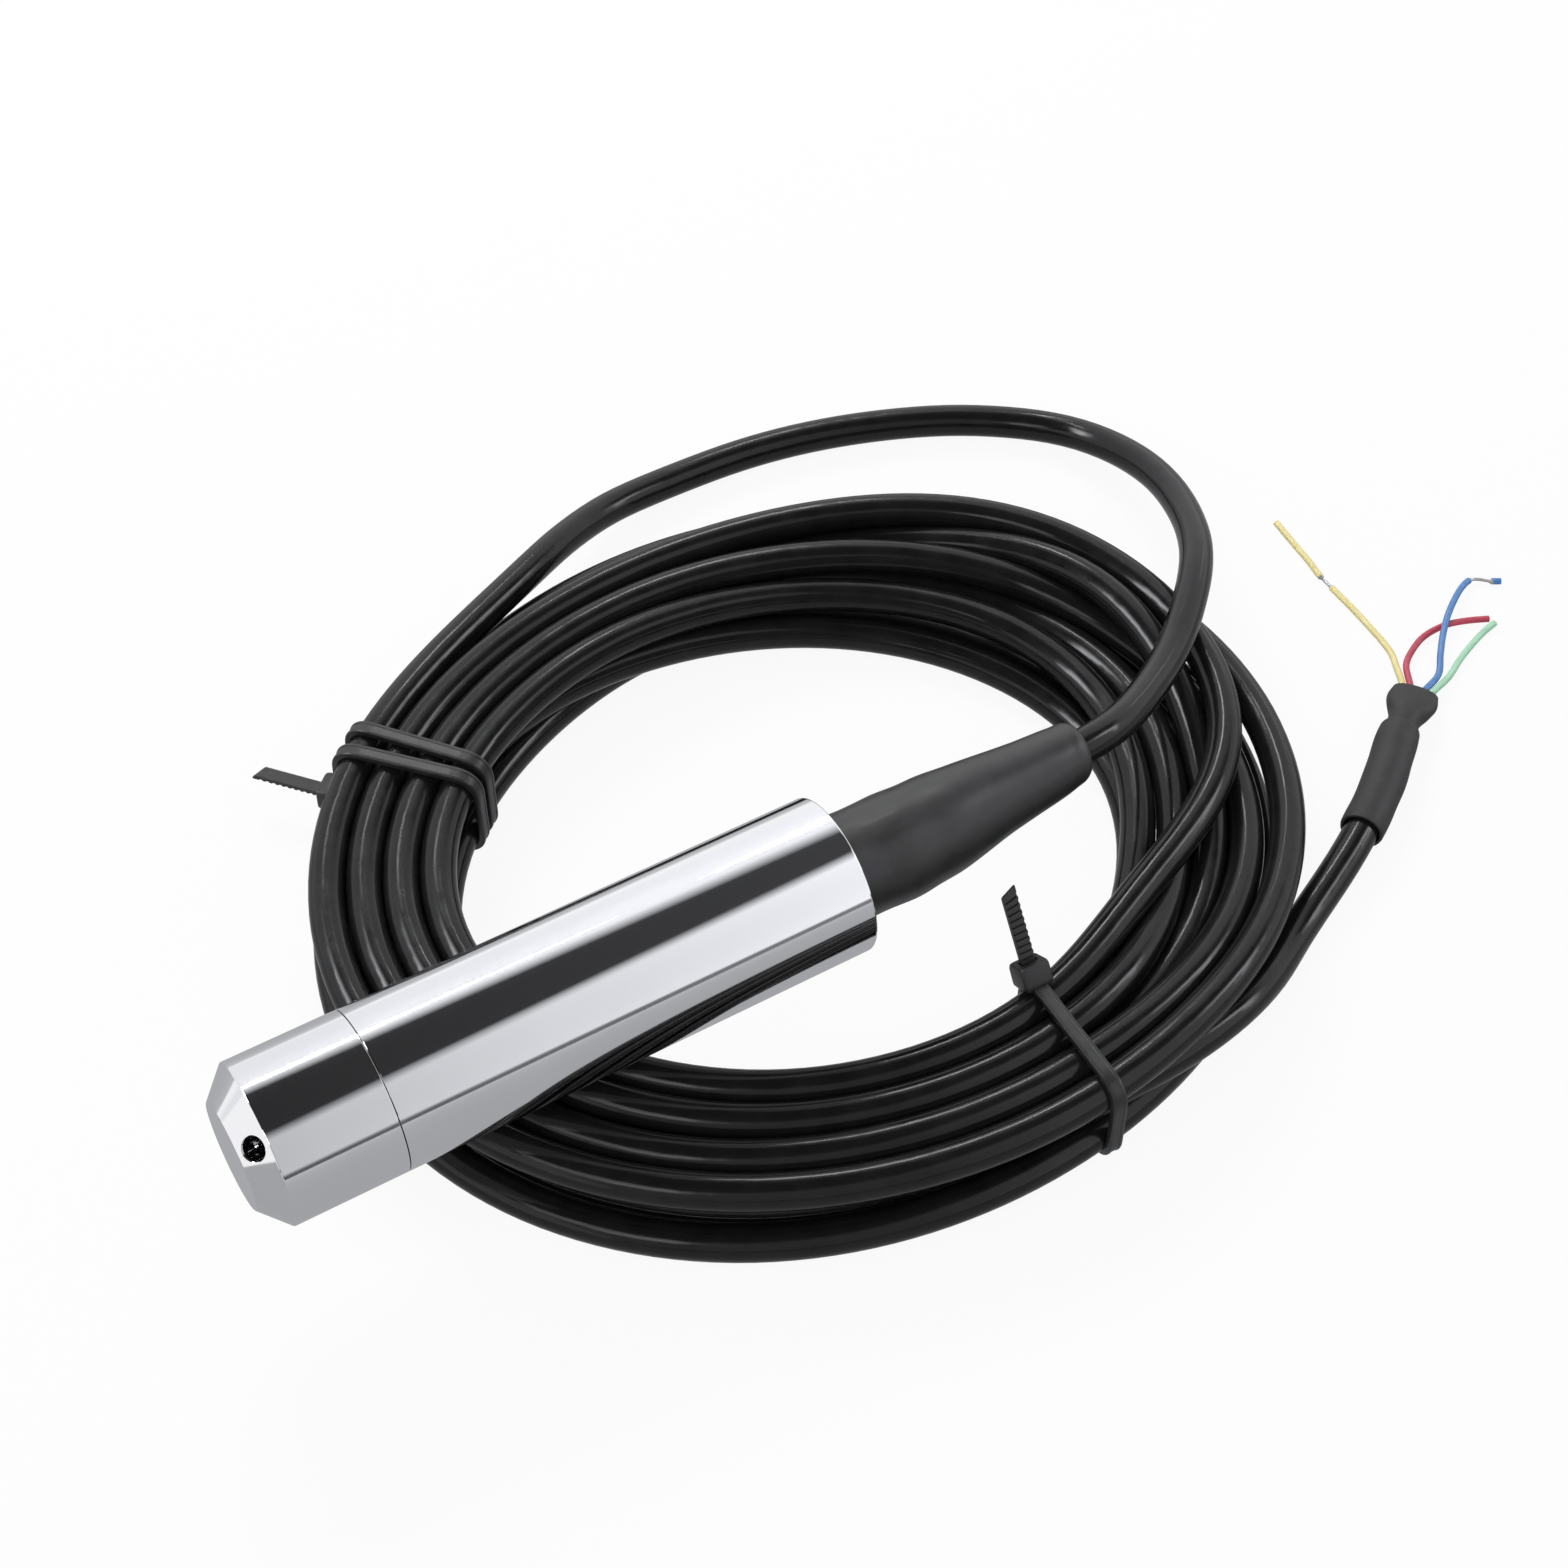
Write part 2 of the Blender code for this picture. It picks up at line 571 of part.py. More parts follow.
def inlet_holes(face):
    """Inlets square to the conical chamfer, at its middle, deep enough to meet the chamber."""
    rise = BODY_RADIUS - face
    slope = math.hypot(rise, NOSE_CHAMFER_LENGTH)
    inward = (rise / slope, -NOSE_CHAMFER_LENGTH / slope)
    start = 1.0
    x = NOSE_CHAMFER_LENGTH / 2 - inward[0] * start
    radius = (face + BODY_RADIUS) / 2 - inward[1] * start
    holes = []
    for i in range(INLET_COUNT):
        turn = math.radians(INLET_FIRST_ANGLE + 360 * i / INLET_COUNT)
        side, up = -math.sin(turn), math.cos(turn)
        holes.append(((x, radius * side, radius * up),
                      (inward[0], inward[1] * side, inward[1] * up),
                      INLET_DIAMETER, INLET_DEPTH + start))
    return holes


def make_gasket(parent):
    bore = CHAMBER_RADIUS - GASKET_SETBACK
    profile = collar_profile(0, GASKET_THICKNESS, bore, SPIGOT_RADIUS, 0.15)
    turned("nose_gasket", profile, black_rubber(), parent, 28, GASKET_FRONT)


def make_housing(parent):
    cell_bore = CELL_BORE_RADIUS
    lip = cell_bore - LIP_WIDTH
    shoulder = SEAM + GAP / 2
    relief = SPIGOT_RADIUS - THREAD_RELIEF_DEPTH
    profile = [(SPIGOT_FRONT, lip), (SPIGOT_FRONT, SPIGOT_RADIUS - MOUTH_CHAMFER),
               (SPIGOT_FRONT + MOUTH_CHAMFER, SPIGOT_RADIUS),
               (shoulder - THREAD_RELIEF_LENGTH, SPIGOT_RADIUS),
               (shoulder - THREAD_RELIEF_LENGTH + THREAD_RELIEF_DEPTH, relief),
               (shoulder, relief), (shoulder, BODY_RADIUS), (RIM - RIM_CHAMFER, BODY_RADIUS),
               (RIM, BODY_RADIUS - RIM_CHAMFER), (RIM, PLUG_BORE_RADIUS),
               (PLUG_SEAT, PLUG_BORE_RADIUS), (PLUG_SEAT, TUBE_BORE_RADIUS),
               (CELL_BORE_END, TUBE_BORE_RADIUS), (CELL_BORE_END, cell_bore),
               (LIP_BACK, cell_bore), (LIP_BACK, lip)]
    turned("housing_tube", profile, polished_steel(), parent)


# Sensing cell


def make_sensor_cell(parent):
    groove_floor = CELL_BORE_RADIUS - CELL_O_RING_SECTION - 2 * GAP
    groove_end = CELL_GROOVE_START + CELL_GROOVE_WIDTH
    header = CELL_LENGTH - HEADER_RECESS_DEPTH
    profile = [(CELL_RECESS_DEPTH, 0), (CELL_RECESS_DEPTH, CELL_RECESS_RADIUS),
               (0, CELL_RECESS_RADIUS), (0, CELL_RADIUS), (CELL_GROOVE_START, CELL_RADIUS),
               (CELL_GROOVE_START, groove_floor), (groove_end, groove_floor),
               (groove_end, CELL_RADIUS), (CELL_LENGTH, CELL_RADIUS),
               (CELL_LENGTH, HEADER_RECESS_DIAMETER / 2), (header, HEADER_RECESS_DIAMETER / 2),
               (header, VENT_BORE_RADIUS), (header - VENT_PORT_DEPTH, VENT_BORE_RADIUS),
               (header - VENT_PORT_DEPTH, 0)]
    turned("sensor_cell", profile, bright_steel(), parent, segments=28, at=CELL_FRONT)


def make_diaphragm(parent):
    """A thin disc with concentric corrugations, over the cell's front recess."""
    radius = CELL_RECESS_RADIUS - GAP
    middle = CELL_RECESS_DEPTH - GAP - DIAPHRAGM_THICKNESS - CORRUGATION_HEIGHT
    steps = 2 * CORRUGATION_COUNT
    front = []
    for i in range(steps + 1):
        share = i / steps
        wave = math.cos(2 * math.pi * CORRUGATION_COUNT * share)
        front.append((middle + CORRUGATION_HEIGHT * wave, radius * share))
    back = [(x + DIAPHRAGM_THICKNESS, r) for x, r in reversed(front)]
    turned("isolation_diaphragm", front + back, bright_steel(), parent, 24, CELL_FRONT)


def make_sensor_o_ring(parent):
    middle = CELL_GROOVE_START + CELL_GROOVE_WIDTH / 2
    radius = CELL_BORE_RADIUS - GAP - CELL_O_RING_SECTION / 2
    profile = circle_profile(middle, radius, CELL_O_RING_SECTION)
    turned("sensor_o_ring", profile, black_rubber(), parent, 24, CELL_FRONT)


def make_lock_ring(parent):
    radius = TUBE_BORE_RADIUS - GAP
    profile = collar_profile(0, LOCK_RING_THICKNESS, LOCK_RING_BORE_DIAMETER / 2, radius, 0.4)
    ring = turned("sensor_lock_ring", profile, bright_steel(), parent, 28, LOCK_RING_FRONT)
    slot = extruded_mesh("slot", rectangle(2 * BODY_DIAMETER, SPANNER_SLOT_WIDTH,
                                           -SPANNER_SLOT_WIDTH / 2), SPANNER_SLOT_DEPTH + 1)
    slot.transform(Matrix.Translation(((LOCK_RING_THICKNESS - SPANNER_SLOT_DEPTH) * MM, 0, 0)))
    boolean(ring, slot, "DIFFERENCE")


def pin_places():
    """The (y, z) places of the four header pins, in the order of the signal leads."""
    half = PIN_SPACING / 2
    return [(-half, half), (half, half), (-half, -half), (half, -half)]


def make_header_pins(parent):
    radius = PIN_DIAMETER / 2
    profile = [(0, 0), (0, radius), (PIN_LENGTH, radius), (PIN_LENGTH, 0)]
    mesh = turned_mesh("header_pin", profile, 10)
    mesh.materials.append(bright_steel())
    for number, (y, z) in enumerate(pin_places(), 1):
        pin = bpy.data.objects.new(f"header_pin_{number}", mesh)
        bpy.context.scene.collection.objects.link(pin)
        pin.location = Vector((PIN_FRONT, y, z)) * MM
        pin.parent = parent


def make_compensation_board(parent):
    radius = COMPENSATION_BOARD_DIAMETER / 2
    profile = [(0, 0), (0, radius), (COMPENSATION_BOARD_THICKNESS, radius),
               (COMPENSATION_BOARD_THICKNESS, 0)]
    board = turned("compensation_board", profile, board_laminate(), parent, 24,
                   COMPENSATION_BOARD_FRONT)
    depth = COMPENSATION_BOARD_THICKNESS + 2
    holes = [((-1, y, z), (1, 0, 0), PIN_DIAMETER + 2 * GAP, depth) for y, z in pin_places()]
    holes.append(((-1, 0, 0), (1, 0, 0), 2 * VENT_BORE_RADIUS, depth))
    boolean(board, drill_mesh("board_holes", holes, 8), "DIFFERENCE")


# Electronics


def arc(radius, start, end, steps):
    """Points (y, z) on a circle from one angle to another, in degrees from +Y toward +Z."""
    turns = (math.radians(start + (end - start) * i / steps) for i in range(steps + 1))
    return [(radius * math.cos(turn), radius * math.sin(turn)) for turn in turns]


def make_cradle(parent):
    """A trough in the tube's lower half, with a guide slot on each side for the board."""
    inner = CRADLE_INNER_RADIUS
    half_slot = BOARD_THICKNESS / 2 + GAP
    slot_floor = BOARD_HALF_WIDTH + GAP
    outer_top = math.degrees(math.asin(CRADLE_TOP / CRADLE_RADIUS))
    inner_top = math.degrees(math.asin(CRADLE_TOP / inner))
    slot_angle = math.degrees(math.asin(half_slot / inner))
    outline = arc(CRADLE_RADIUS, outer_top, -180 - outer_top, 20)
    outline += [arc(inner, 180 - inner_top, 180, 1)[0], arc(inner, 180 - slot_angle, 180, 1)[0]]
    outline += [(-slot_floor, half_slot), (-slot_floor, -half_slot)]
    outline += arc(inner, 180 + slot_angle, 360 - slot_angle, 14)
    outline += [(slot_floor, -half_slot), (slot_floor, half_slot)]
    outline += [arc(inner, slot_angle, 180, 1)[0], arc(inner, inner_top, 180, 1)[0]]
    mesh = extruded_mesh("board_cradle", outline, CRADLE_LENGTH)
    add_object("board_cradle", mesh, cradle_polymer(), (CRADLE_FRONT, 0, 0), parent)


def make_circuit_board(parent):
    """The board's outline in plan, with cut corners, as one plate."""
    half = BOARD_HALF_WIDTH
    corner = BOARD_CORNER
    plan = [(0, -half + corner), (corner, -half), (BOARD_LENGTH - corner, -half),
            (BOARD_LENGTH, -half + corner), (BOARD_LENGTH, half - corner),
            (BOARD_LENGTH - corner, half), (corner, half), (0, half - corner)]
    bm = bmesh.new()
    skin_rings(bm, [[(x, y, z) for x, y in plan] for z in (-BOARD_TOP, BOARD_TOP)], False)
    add_object("circuit_board", mesh_from("circuit_board", bm), board_laminate(),
               (BOARD_FRONT, 0, 0), parent)


def make_board_parts(parent):
    """The parts soldered on the board, each at its distance from the board's front end."""
    def seat(along, across=0.0):
        return (BOARD_FRONT + along, across, PART_SEAT)

    chip = block("loop_driver_chip", CHIP_SIZE, component_body(), seat(CHIP_PLACE), parent)
    boolean(chip, chip_legs(), "UNION")
    transistor = block("output_transistor", TRANSISTOR_SIZE, component_body(),
                       seat(MIDDLE_ROW_PLACE, TRANSISTOR_SIDE), parent)
    boolean(transistor, transistor_tab(), "UNION")
    block("surge_diode", DIODE_SIZE, component_body(), seat(MIDDLE_ROW_PLACE, DIODE_SIDE),
          parent, 0.4)
    make_capacitor(parent, seat(MIDDLE_ROW_PLACE, CAPACITOR_SIDE))
    make_trimmer("zero_trimmer", parent, seat(TRIMMER_PLACE, ZERO_TRIMMER_SIDE))
    make_trimmer("span_trimmer", parent, seat(TRIMMER_PLACE, SPAN_TRIMMER_SIDE))
    make_terminal_block(parent, seat(TERMINAL_PLACE))


def chip_legs():
    """Four pairs of bent legs that pass through the chip, each a strip of one outline."""
    thickness = CHIP_LEG_THICKNESS
    outer = CHIP_SIZE[1] / 2 + CHIP_LEG_REACH
    knee = CHIP_SIZE[1] / 2 + CHIP_LEG_REACH * 0.45
    half_outline = [(outer, 0.0), (outer, thickness), (knee, thickness), (knee, 4 * thickness)]
    under = [(knee - thickness, 3 * thickness), (knee - thickness, 0.0)]
    outline = half_outline + [(-y, z) for y, z in reversed(half_outline)]
    outline += [(-y, z) for y, z in reversed(under)] + under
    joined = bmesh.new()
    for i in range(4):
        leg = extruded_mesh("leg", outline, CHIP_LEG_WIDTH)
        x = CHIP_LEG_PITCH * (i - 1.5) - CHIP_LEG_WIDTH / 2
        leg.transform(Matrix.Translation((x * MM, 0, 0)))
        joined.from_mesh(leg)
    mesh = bpy.data.meshes.new("chip_legs")
    joined.to_mesh(mesh)
    joined.free()
    return mesh


def transistor_tab():
    """The cooling tab that reaches out under one end of the transistor."""
    length, width, thickness = TRANSISTOR_TAB
    tab = extruded_mesh("tab", rectangle(width, thickness), length + 1)
    tab.transform(Matrix.Translation(((TRANSISTOR_SIZE[0] / 2 - 1) * MM, 0, 0)))
    return tab


def make_capacitor(parent, place):
    """An upright can with a crimp near its foot, turned and stood on end."""
    radius, height, crimp = CAPACITOR_DIAMETER / 2, CAPACITOR_HEIGHT, CAPACITOR_CRIMP
    profile = [(0, 0), (0, radius), (0.8, radius), (0.8 + crimp, radius - crimp),
               (0.8 + 2 * crimp, radius), (height - crimp, radius), (height, radius - crimp),
               (height, 0)]
    can = turned("filter_capacitor", profile, bright_steel(), parent, 20)
    can.rotation_euler = (0, -math.pi / 2, 0)
    can.location = Vector(place) * MM


def make_trimmer(name, parent, place):
    """A square trimmer whose rotor has a cross slot in a round recess."""
    height = TRIMMER_SIZE[2]
    trimmer = block(name, TRIMMER_SIZE, trimmer_body(), place, parent)
    recess = ((0, 0, height + 1), (0, 0, -1), TRIMMER_RECESS_DIAMETER, TRIMMER_RECESS_DEPTH + 1)
    boolean(trimmer, drill_mesh("recess", [recess], 16), "DIFFERENCE")
    long, narrow, deep = TRIMMER_SLOT
    base = height - TRIMMER_RECESS_DEPTH - deep
    for along, across in ((long, narrow), (narrow, long)):
        slot = extruded_mesh("slot", rectangle(across, deep + 0.2, base), along)
        slot.transform(Matrix.Translation((-along / 2 * MM, 0, 0)))
        boolean(trimmer, slot, "DIFFERENCE")


def terminal_places():
    return [TERMINAL_PITCH * (i - 1.5) for i in range(len(CONDUCTORS))]


def make_terminal_block(parent, place):
    """A four-way block with wire entries at the rear and screw wells on top."""
    length, _, height = TERMINAL_SIZE
    terminal = block("terminal_block", TERMINAL_SIZE, terminal_body(), place, parent)
    holes = []
    for y in terminal_places():
        holes.append(((length / 2 + 1, y, TERMINAL_ENTRY_HEIGHT), (-1, 0, 0),
                      CONDUCTOR_DIAMETER + 2 * GAP, TERMINAL_ENTRY_DEPTH + 1))
        holes.append(((-1, y, height + 1), (0, 0, -1), TERMINAL_WELL_DIAMETER,
                      TERMINAL_WELL_DEPTH + 1))
    boolean(terminal, drill_mesh("entries", holes, 8), "DIFFERENCE")


def make_signal_leads(parent):
    """Four leads from the compensation board to the front of the circuit board."""
    height = PART_SEAT + LEAD_DIAMETER / 2
    start = COMPENSATION_BOARD_BACK + GAP
    clear_of_pin = PIN_FRONT + PIN_LENGTH + GAP
    middle = (clear_of_pin + BOARD_FRONT) / 2
    edge = BOARD_FRONT + 0.6
    landing = edge + LEAD_LANDING * ROW_GAP_SCALE
    for number, (y, z) in enumerate(pin_places(), 1):
        side = math.copysign(1.0, y)
        root = side * LEAD_ROOT_SIDE
        past_pin = root + side * LEAD_PIN_DETOUR
        outer = side * (LOWER_LEAD_SIDE if z < 0 else UPPER_LEAD_SIDE)
        places = [(start, root, z), (clear_of_pin, past_pin, z),
                  (middle, (past_pin + outer) / 2, (z + height) / 2 + 0.6),
                  (edge, outer, height + 0.3), (landing, outer, height)]
        tube(f"signal_lead_{number}", smooth_points(places, 2.4), LEAD_DIAMETER,
             vent_polymer(), parent)


def make_supply_leads(parent):
    """Four cores from the terminal block to the cut end of the cable's jacket."""
    entry = BOARD_FRONT + TERMINAL_PLACE + TERMINAL_SIZE[0] / 2 - TERMINAL_ENTRY_DEPTH + GAP
    height = PART_SEAT + TERMINAL_ENTRY_HEIGHT
    mouth = entry + TERMINAL_ENTRY_DEPTH
    end = CABLE_START - GAP
    for (colour, *_), y, (across, up) in zip(CONDUCTORS, terminal_places(), CORE_PLACES):
        places = [(entry, y, height), (mouth + 0.6, y, height),
                  ((mouth + end) / 2, (y + across) / 2, (height + up) / 2), (end, across, up)]
        tube("supply_lead_" + colour, smooth_points(places, 1.8), CONDUCTOR_DIAMETER,
             wire_insulation(colour), parent)


def make_vent_tube(parent):
    """The breather from the cell's port, under the board and up to the cable's core."""
    start = CELL_BACK - HEADER_RECESS_DEPTH - VENT_PORT_DEPTH + GAP
    low = -VENT_TUBE_DROP
    places = [(start, 0, 0), (LOCK_RING_BACK, 0, 0), (COMPENSATION_BOARD_BACK + 1.4, 0, 0),
              (BOARD_FRONT - 1.8, 0, low + 1.4), (BOARD_FRONT + 2, 0, low),
              (BOARD_FRONT + BOARD_LENGTH / 2, 0, low), (BOARD_FRONT + BOARD_LENGTH - 2, 0, low),
              (CABLE_START - 3.4, 0, low + 1.4), (CABLE_START - GAP, 0, VENT_PLACE)]
    tube("vent_tube", smooth_points(places, 3.6), VENT_TUBE_DIAMETER, vent_polymer(), parent)


# Gland and boot


def make_gland(parent):
    groove_floor = PLUG_BORE_RADIUS - PLUG_O_RING_SECTION - 2 * GAP
    groove_end = PLUG_GROOVE_START + PLUG_GROOVE_WIDTH
    pocket = SEAL_RADIUS + GAP
    edge = 0.4
    plug = [(0, CABLE_BORE_RADIUS), (0, PLUG_RADIUS - edge), (edge, PLUG_RADIUS),
            (PLUG_GROOVE_START, PLUG_RADIUS), (PLUG_GROOVE_START, groove_floor),
            (groove_end, groove_floor), (groove_end, PLUG_RADIUS), (PLUG_LENGTH, PLUG_RADIUS),
            (PLUG_LENGTH, pocket), (PLUG_FRONT_WALL, pocket),
            (PLUG_FRONT_WALL, CABLE_BORE_RADIUS)]
    turned("gland_body", plug, bright_steel(), parent, 28, PLUG_FRONT)
    middle = PLUG_GROOVE_START + PLUG_GROOVE_WIDTH / 2
    radius = PLUG_BORE_RADIUS - GAP - PLUG_O_RING_SECTION / 2
    turned("plug_o_ring", circle_profile(middle, radius, PLUG_O_RING_SECTION), black_rubber(),
           parent, 24, PLUG_FRONT)
    seal = [(0, CABLE_BORE_RADIUS), (0, SEAL_RADIUS - SEAL_TAPER), (SEAL_TAPER, SEAL_RADIUS),
            (SEAL_LENGTH - SEAL_TAPER, SEAL_RADIUS), (SEAL_LENGTH, SEAL_RADIUS - SEAL_TAPER),
            (SEAL_LENGTH, CABLE_BORE_RADIUS)]
    turned("gland_seal", seal, black_rubber(), parent, 24, SEAL_FRONT)
    washer = collar_profile(0, WASHER_THICKNESS, CABLE_BORE_RADIUS, SEAL_RADIUS, 0.1)
    turned("gland_washer", washer, bright_steel(), parent, 24, WASHER_FRONT)
    make_gland_nut(parent)


def make_gland_nut(parent):
    """A nut with a plain shank and a hexagon head, trimmed from a turned blank."""
    shank = NUT_SHOULDER - NUT_FRONT
    length = NUT_BACK - NUT_FRONT
    head = NUT_HEAD_DIAMETER / 2
    edge = 0.6
    blank = [(0, CABLE_BORE_RADIUS), (0, SEAL_RADIUS), (shank, SEAL_RADIUS),
             (shank, head - edge), (shank + edge, head), (length - edge, head),
             (length, head - edge), (length, CABLE_BORE_RADIUS)]
    nut = turned("gland_nut", blank, bright_steel(), parent, 24, NUT_FRONT)
    corner = NUT_ACROSS_FLATS / 2 / math.cos(math.pi / 6)
    hexagon = extruded_mesh("hexagon", arc(corner, 0, 300, 5), length + 2)
    hexagon.transform(Matrix.Translation((-MM, 0, 0)))
    boolean(nut, hexagon, "INTERSECT")


def boot_lean(x):
    """How far the boot and the cable in it lean toward +Y at a place on the axis."""
    past = (x - NUT_BACK + 2.0) / (BOOT_TIP - NUT_BACK + 2.0)
    return BOOT_BEND * max(0.0, past) ** 1.6


def make_boot(parent):
    """A shrunk boot over the nut: its outside tapers to the cable and leans with it."""
    outer = smooth_points([(x, radius, 0.0) for x, radius in BOOT_PROFILE], 3.2)
    profile = [(BOOT_FRONT + point.x, point.y) for point in outer]
    nut_room = NUT_HEAD_DIAMETER / 2 + GAP
    bore_start = NUT_BACK + GAP
    inner_steps = 5
    bore = [BOOT_TIP + (bore_start - BOOT_TIP) * i / inner_steps for i in range(inner_steps + 1)]
    profile.append((BOOT_TIP, CABLE_BORE_RADIUS + BOOT_FLARE))
    profile += [(x, CABLE_BORE_RADIUS) for x in bore[1:]]
    profile += [(bore_start, nut_room), (BOOT_FRONT, nut_room)]
    mesh = turned_mesh("strain_boot", profile, 24)
    for vertex in mesh.vertices:
        vertex.co.y += boot_lean(vertex.co.x / MM) * MM
    add_object("strain_boot", mesh, boot_polymer(), parent=parent)


# Cable


def lead_points():
    """The lead: through the gland and the boot, round the free loop, down to the coil."""
    inside = [CABLE_START, PLUG_BACK, NUT_BACK - 4.0, NUT_BACK + 10.0, NUT_BACK + 22.0,
              BOOT_TIP - 8.0]
    start = [(x, boot_lean(x), 0.0) for x in inside]
    tip = (BOOT_TIP, boot_lean(BOOT_TIP), -0.1)
    return smooth_points([*start, tip, *LOOP_ROUTE], ROUTE_STEP)


def make_lead(parent):
    tube("cable_lead", lead_points(), CABLE_DIAMETER, cable_jacket(), parent, 3)


def make_tail(parent):
    tube("cable_tail", smooth_points(TAIL_ROUTE, ROUTE_STEP / 2), CABLE_DIAMETER,
         cable_jacket(), parent, 3)


def tied_share(angle):
    """1 where a tie holds the bundle together, 0 where it lies loose."""
    share = 0.0
    for tie in (LEFT_TIE_ANGLE, RIGHT_TIE_ANGLE):
        away = abs((angle - tie + 180) % 360 - 180)
        ramp = min(1.0, max(0.0, (TIED_REACH + TIED_FADE - away) / TIED_FADE))
        share = max(share, ramp * ramp * (3 - 2 * ramp))
    return share


def coil_frame(angle):
    """Middle of the bundle and its outward direction at an angle round the coil."""
    turn = math.radians(angle)
    a, b = COIL_SEMI_AXES
    middle = Vector((COIL_CENTRE[0] + a * math.cos(turn), COIL_CENTRE[1] + b * math.sin(turn), 0))
    outward = Vector((math.cos(turn) / a, math.sin(turn) / b, 0)).normalized()
    return middle, outward


def rounded_rectangle(width, height, corner, steps=3):
    """Points (across, up) of a rounded rectangle round its middle, anticlockwise."""
    points = []
    for quarter in range(4):
        side_x = 1 if quarter in (0, 3) else -1
        side_z = 1 if quarter in (0, 1) else -1
        centre = (side_x * (width / 2 - corner), side_z * (height / 2 - corner))
        for i in range(steps + 1):
            turn = math.radians(90 * (quarter + i / steps))
            points.append((centre[0] + corner * math.cos(turn),
                           centre[1] + corner * math.sin(turn)))
    return points


def make_coil(parent):
    """The outer shape of the coiled cable: a ring, drawn in and lifted at each tie."""
    rings = []
    for i in range(COIL_STATIONS):
        angle = 360 * i / COIL_STATIONS
        share = tied_share(angle)
        middle, outward = coil_frame(angle)
        width = BUNDLE_WIDTH + (TIED_WIDTH - BUNDLE_WIDTH) * share
        bottom = FLOOR + (TIED_BOTTOM - FLOOR) * share
        lift = (COIL_TOP + bottom) / 2
        section = rounded_rectangle(width, COIL_TOP - bottom, BUNDLE_CORNER, 2)
        rings.append([middle + outward * across + Vector((0, 0, up + lift))
                      for across, up in section])
    bm = bmesh.new()
    skin_rings(bm, rings, True)
    add_object("cable_coil", mesh_from("cable_coil", bm), cable_jacket(), parent=parent)


# Cable ties


def tie_surface(angle):
    """A point on the band's inner face and its normal, both in the tie's (across, up) plane."""
    turn = math.radians(angle)
    normal = (math.cos(turn), math.sin(turn))
    corner = BUNDLE_CORNER + GAP
    flat_x = TIE_INNER_WIDTH / 2 - corner
    flat_z = TIE_INNER_HEIGHT / 2 - corner
    side_x = 0 if abs(normal[0]) < 1e-6 else math.copysign(flat_x, normal[0])
    side_z = 0 if abs(normal[1]) < 1e-6 else math.copysign(flat_z, normal[1])
    return (side_x + corner * normal[0], side_z + corner * normal[1]), normal


def band_mesh():
    """The closed loop of the band, with its long edges eased."""
    corner = BUNDLE_CORNER + GAP
    ease = 0.25
    half = BAND_WIDTH / 2
    section = ((0, half - ease), (ease, half), (BAND_THICKNESS - ease, half),
               (BAND_THICKNESS, half - ease), (BAND_THICKNESS, ease - half),
               (BAND_THICKNESS - ease, -half), (ease, -half), (0, ease - half))
    inner = rounded_rectangle(TIE_INNER_WIDTH, TIE_INNER_HEIGHT, corner)
    rings = []
    for i, (across, up) in enumerate(inner):
        turn = math.radians(90 * (i // 4 + (i % 4) / 3))
        out = (math.cos(turn), math.sin(turn))
        rings.append([(across + out[0] * depth, y, up + out[1] * depth) for depth, y in section])
    bm = bmesh.new()
    skin_rings(bm, rings, True)
    return mesh_from("band", bm)


def tie_axes(point, normal, depth):
    """A matrix whose X points out of the tie at a point of its inner face."""
    outward = Vector((normal[0], 0, normal[1]))
    side = Vector((0, 1, 0))
    up = outward.cross(side)
    place = Vector((point[0], 0, point[1])) + outward * depth
    turn = Matrix((outward, side, up)).transposed().to_4x4()
    return Matrix.Translation(place * MM) @ turn


def tail_mesh(length, ridge_side):
    """The ratchet tail: a strip with teeth on one face and a slanted tip."""
    half = TAIL_THICKNESS / 2
    outline = [(0, -half), (length - 0.6, -half), (length, half)]
    x = length - 1.2
    while x > HEAD_HEIGHT + TOOTH_PITCH:
        outline += [(x, half), (x - 0.15, half - TOOTH_DEPTH),
                    (x - TOOTH_PITCH * 0.55, half - TOOTH_DEPTH), (x - TOOTH_PITCH * 0.6, half)]
        x -= TOOTH_PITCH
    outline.append((0, half))
    bm = bmesh.new()
    rings = []
    for y in (-TAIL_WIDTH / 2, TAIL_WIDTH / 2):
        shift = TAIL_SLANT * y / TAIL_WIDTH
        rings.append([(px + shift * (px / length) ** 6, y, pz * ridge_side) for px, pz in outline])
    skin_rings(bm, rings, False)
    return mesh_from("tail", bm)


def head_mesh():
    """The ratchet head: a bevelled block over the band."""
    bm = bmesh.new()
    bmesh.ops.create_cube(bm, size=1.0)
    bmesh.ops.scale(bm, vec=(HEAD_HEIGHT, HEAD_WIDTH, HEAD_LENGTH), verts=bm.verts)
    bmesh.ops.translate(bm, vec=(HEAD_HEIGHT / 2, 0, 0), verts=bm.verts)
    bmesh.ops.bevel(bm, geom=list(bm.edges), offset=0.6, segments=1, affect="EDGES")
    return mesh_from("head", bm)


def make_tie(name, angle, skew, head_angle, tail_length, ridge_side, parent):
    """One closed cable tie round the bundle, its head and tail standing off the loop."""
    middle, outward = coil_frame(angle)
    heading = math.atan2(outward.y, outward.x) + math.radians(skew)
    tie = add_object(name, band_mesh(), tie_nylon(), (middle.x, middle.y, TIE_MIDDLE), parent)
    tie.rotation_euler = (0, 0, heading)
    point, normal = tie_surface(head_angle)
    head = head_mesh()
    head.transform(tie_axes(point, normal, HEAD_SINK))
    boolean(tie, head, "UNION")
    tail = tail_mesh(tail_length, ridge_side)
    tail.transform(tie_axes(point, normal, BAND_THICKNESS))
    boolean(tie, tail, "UNION")


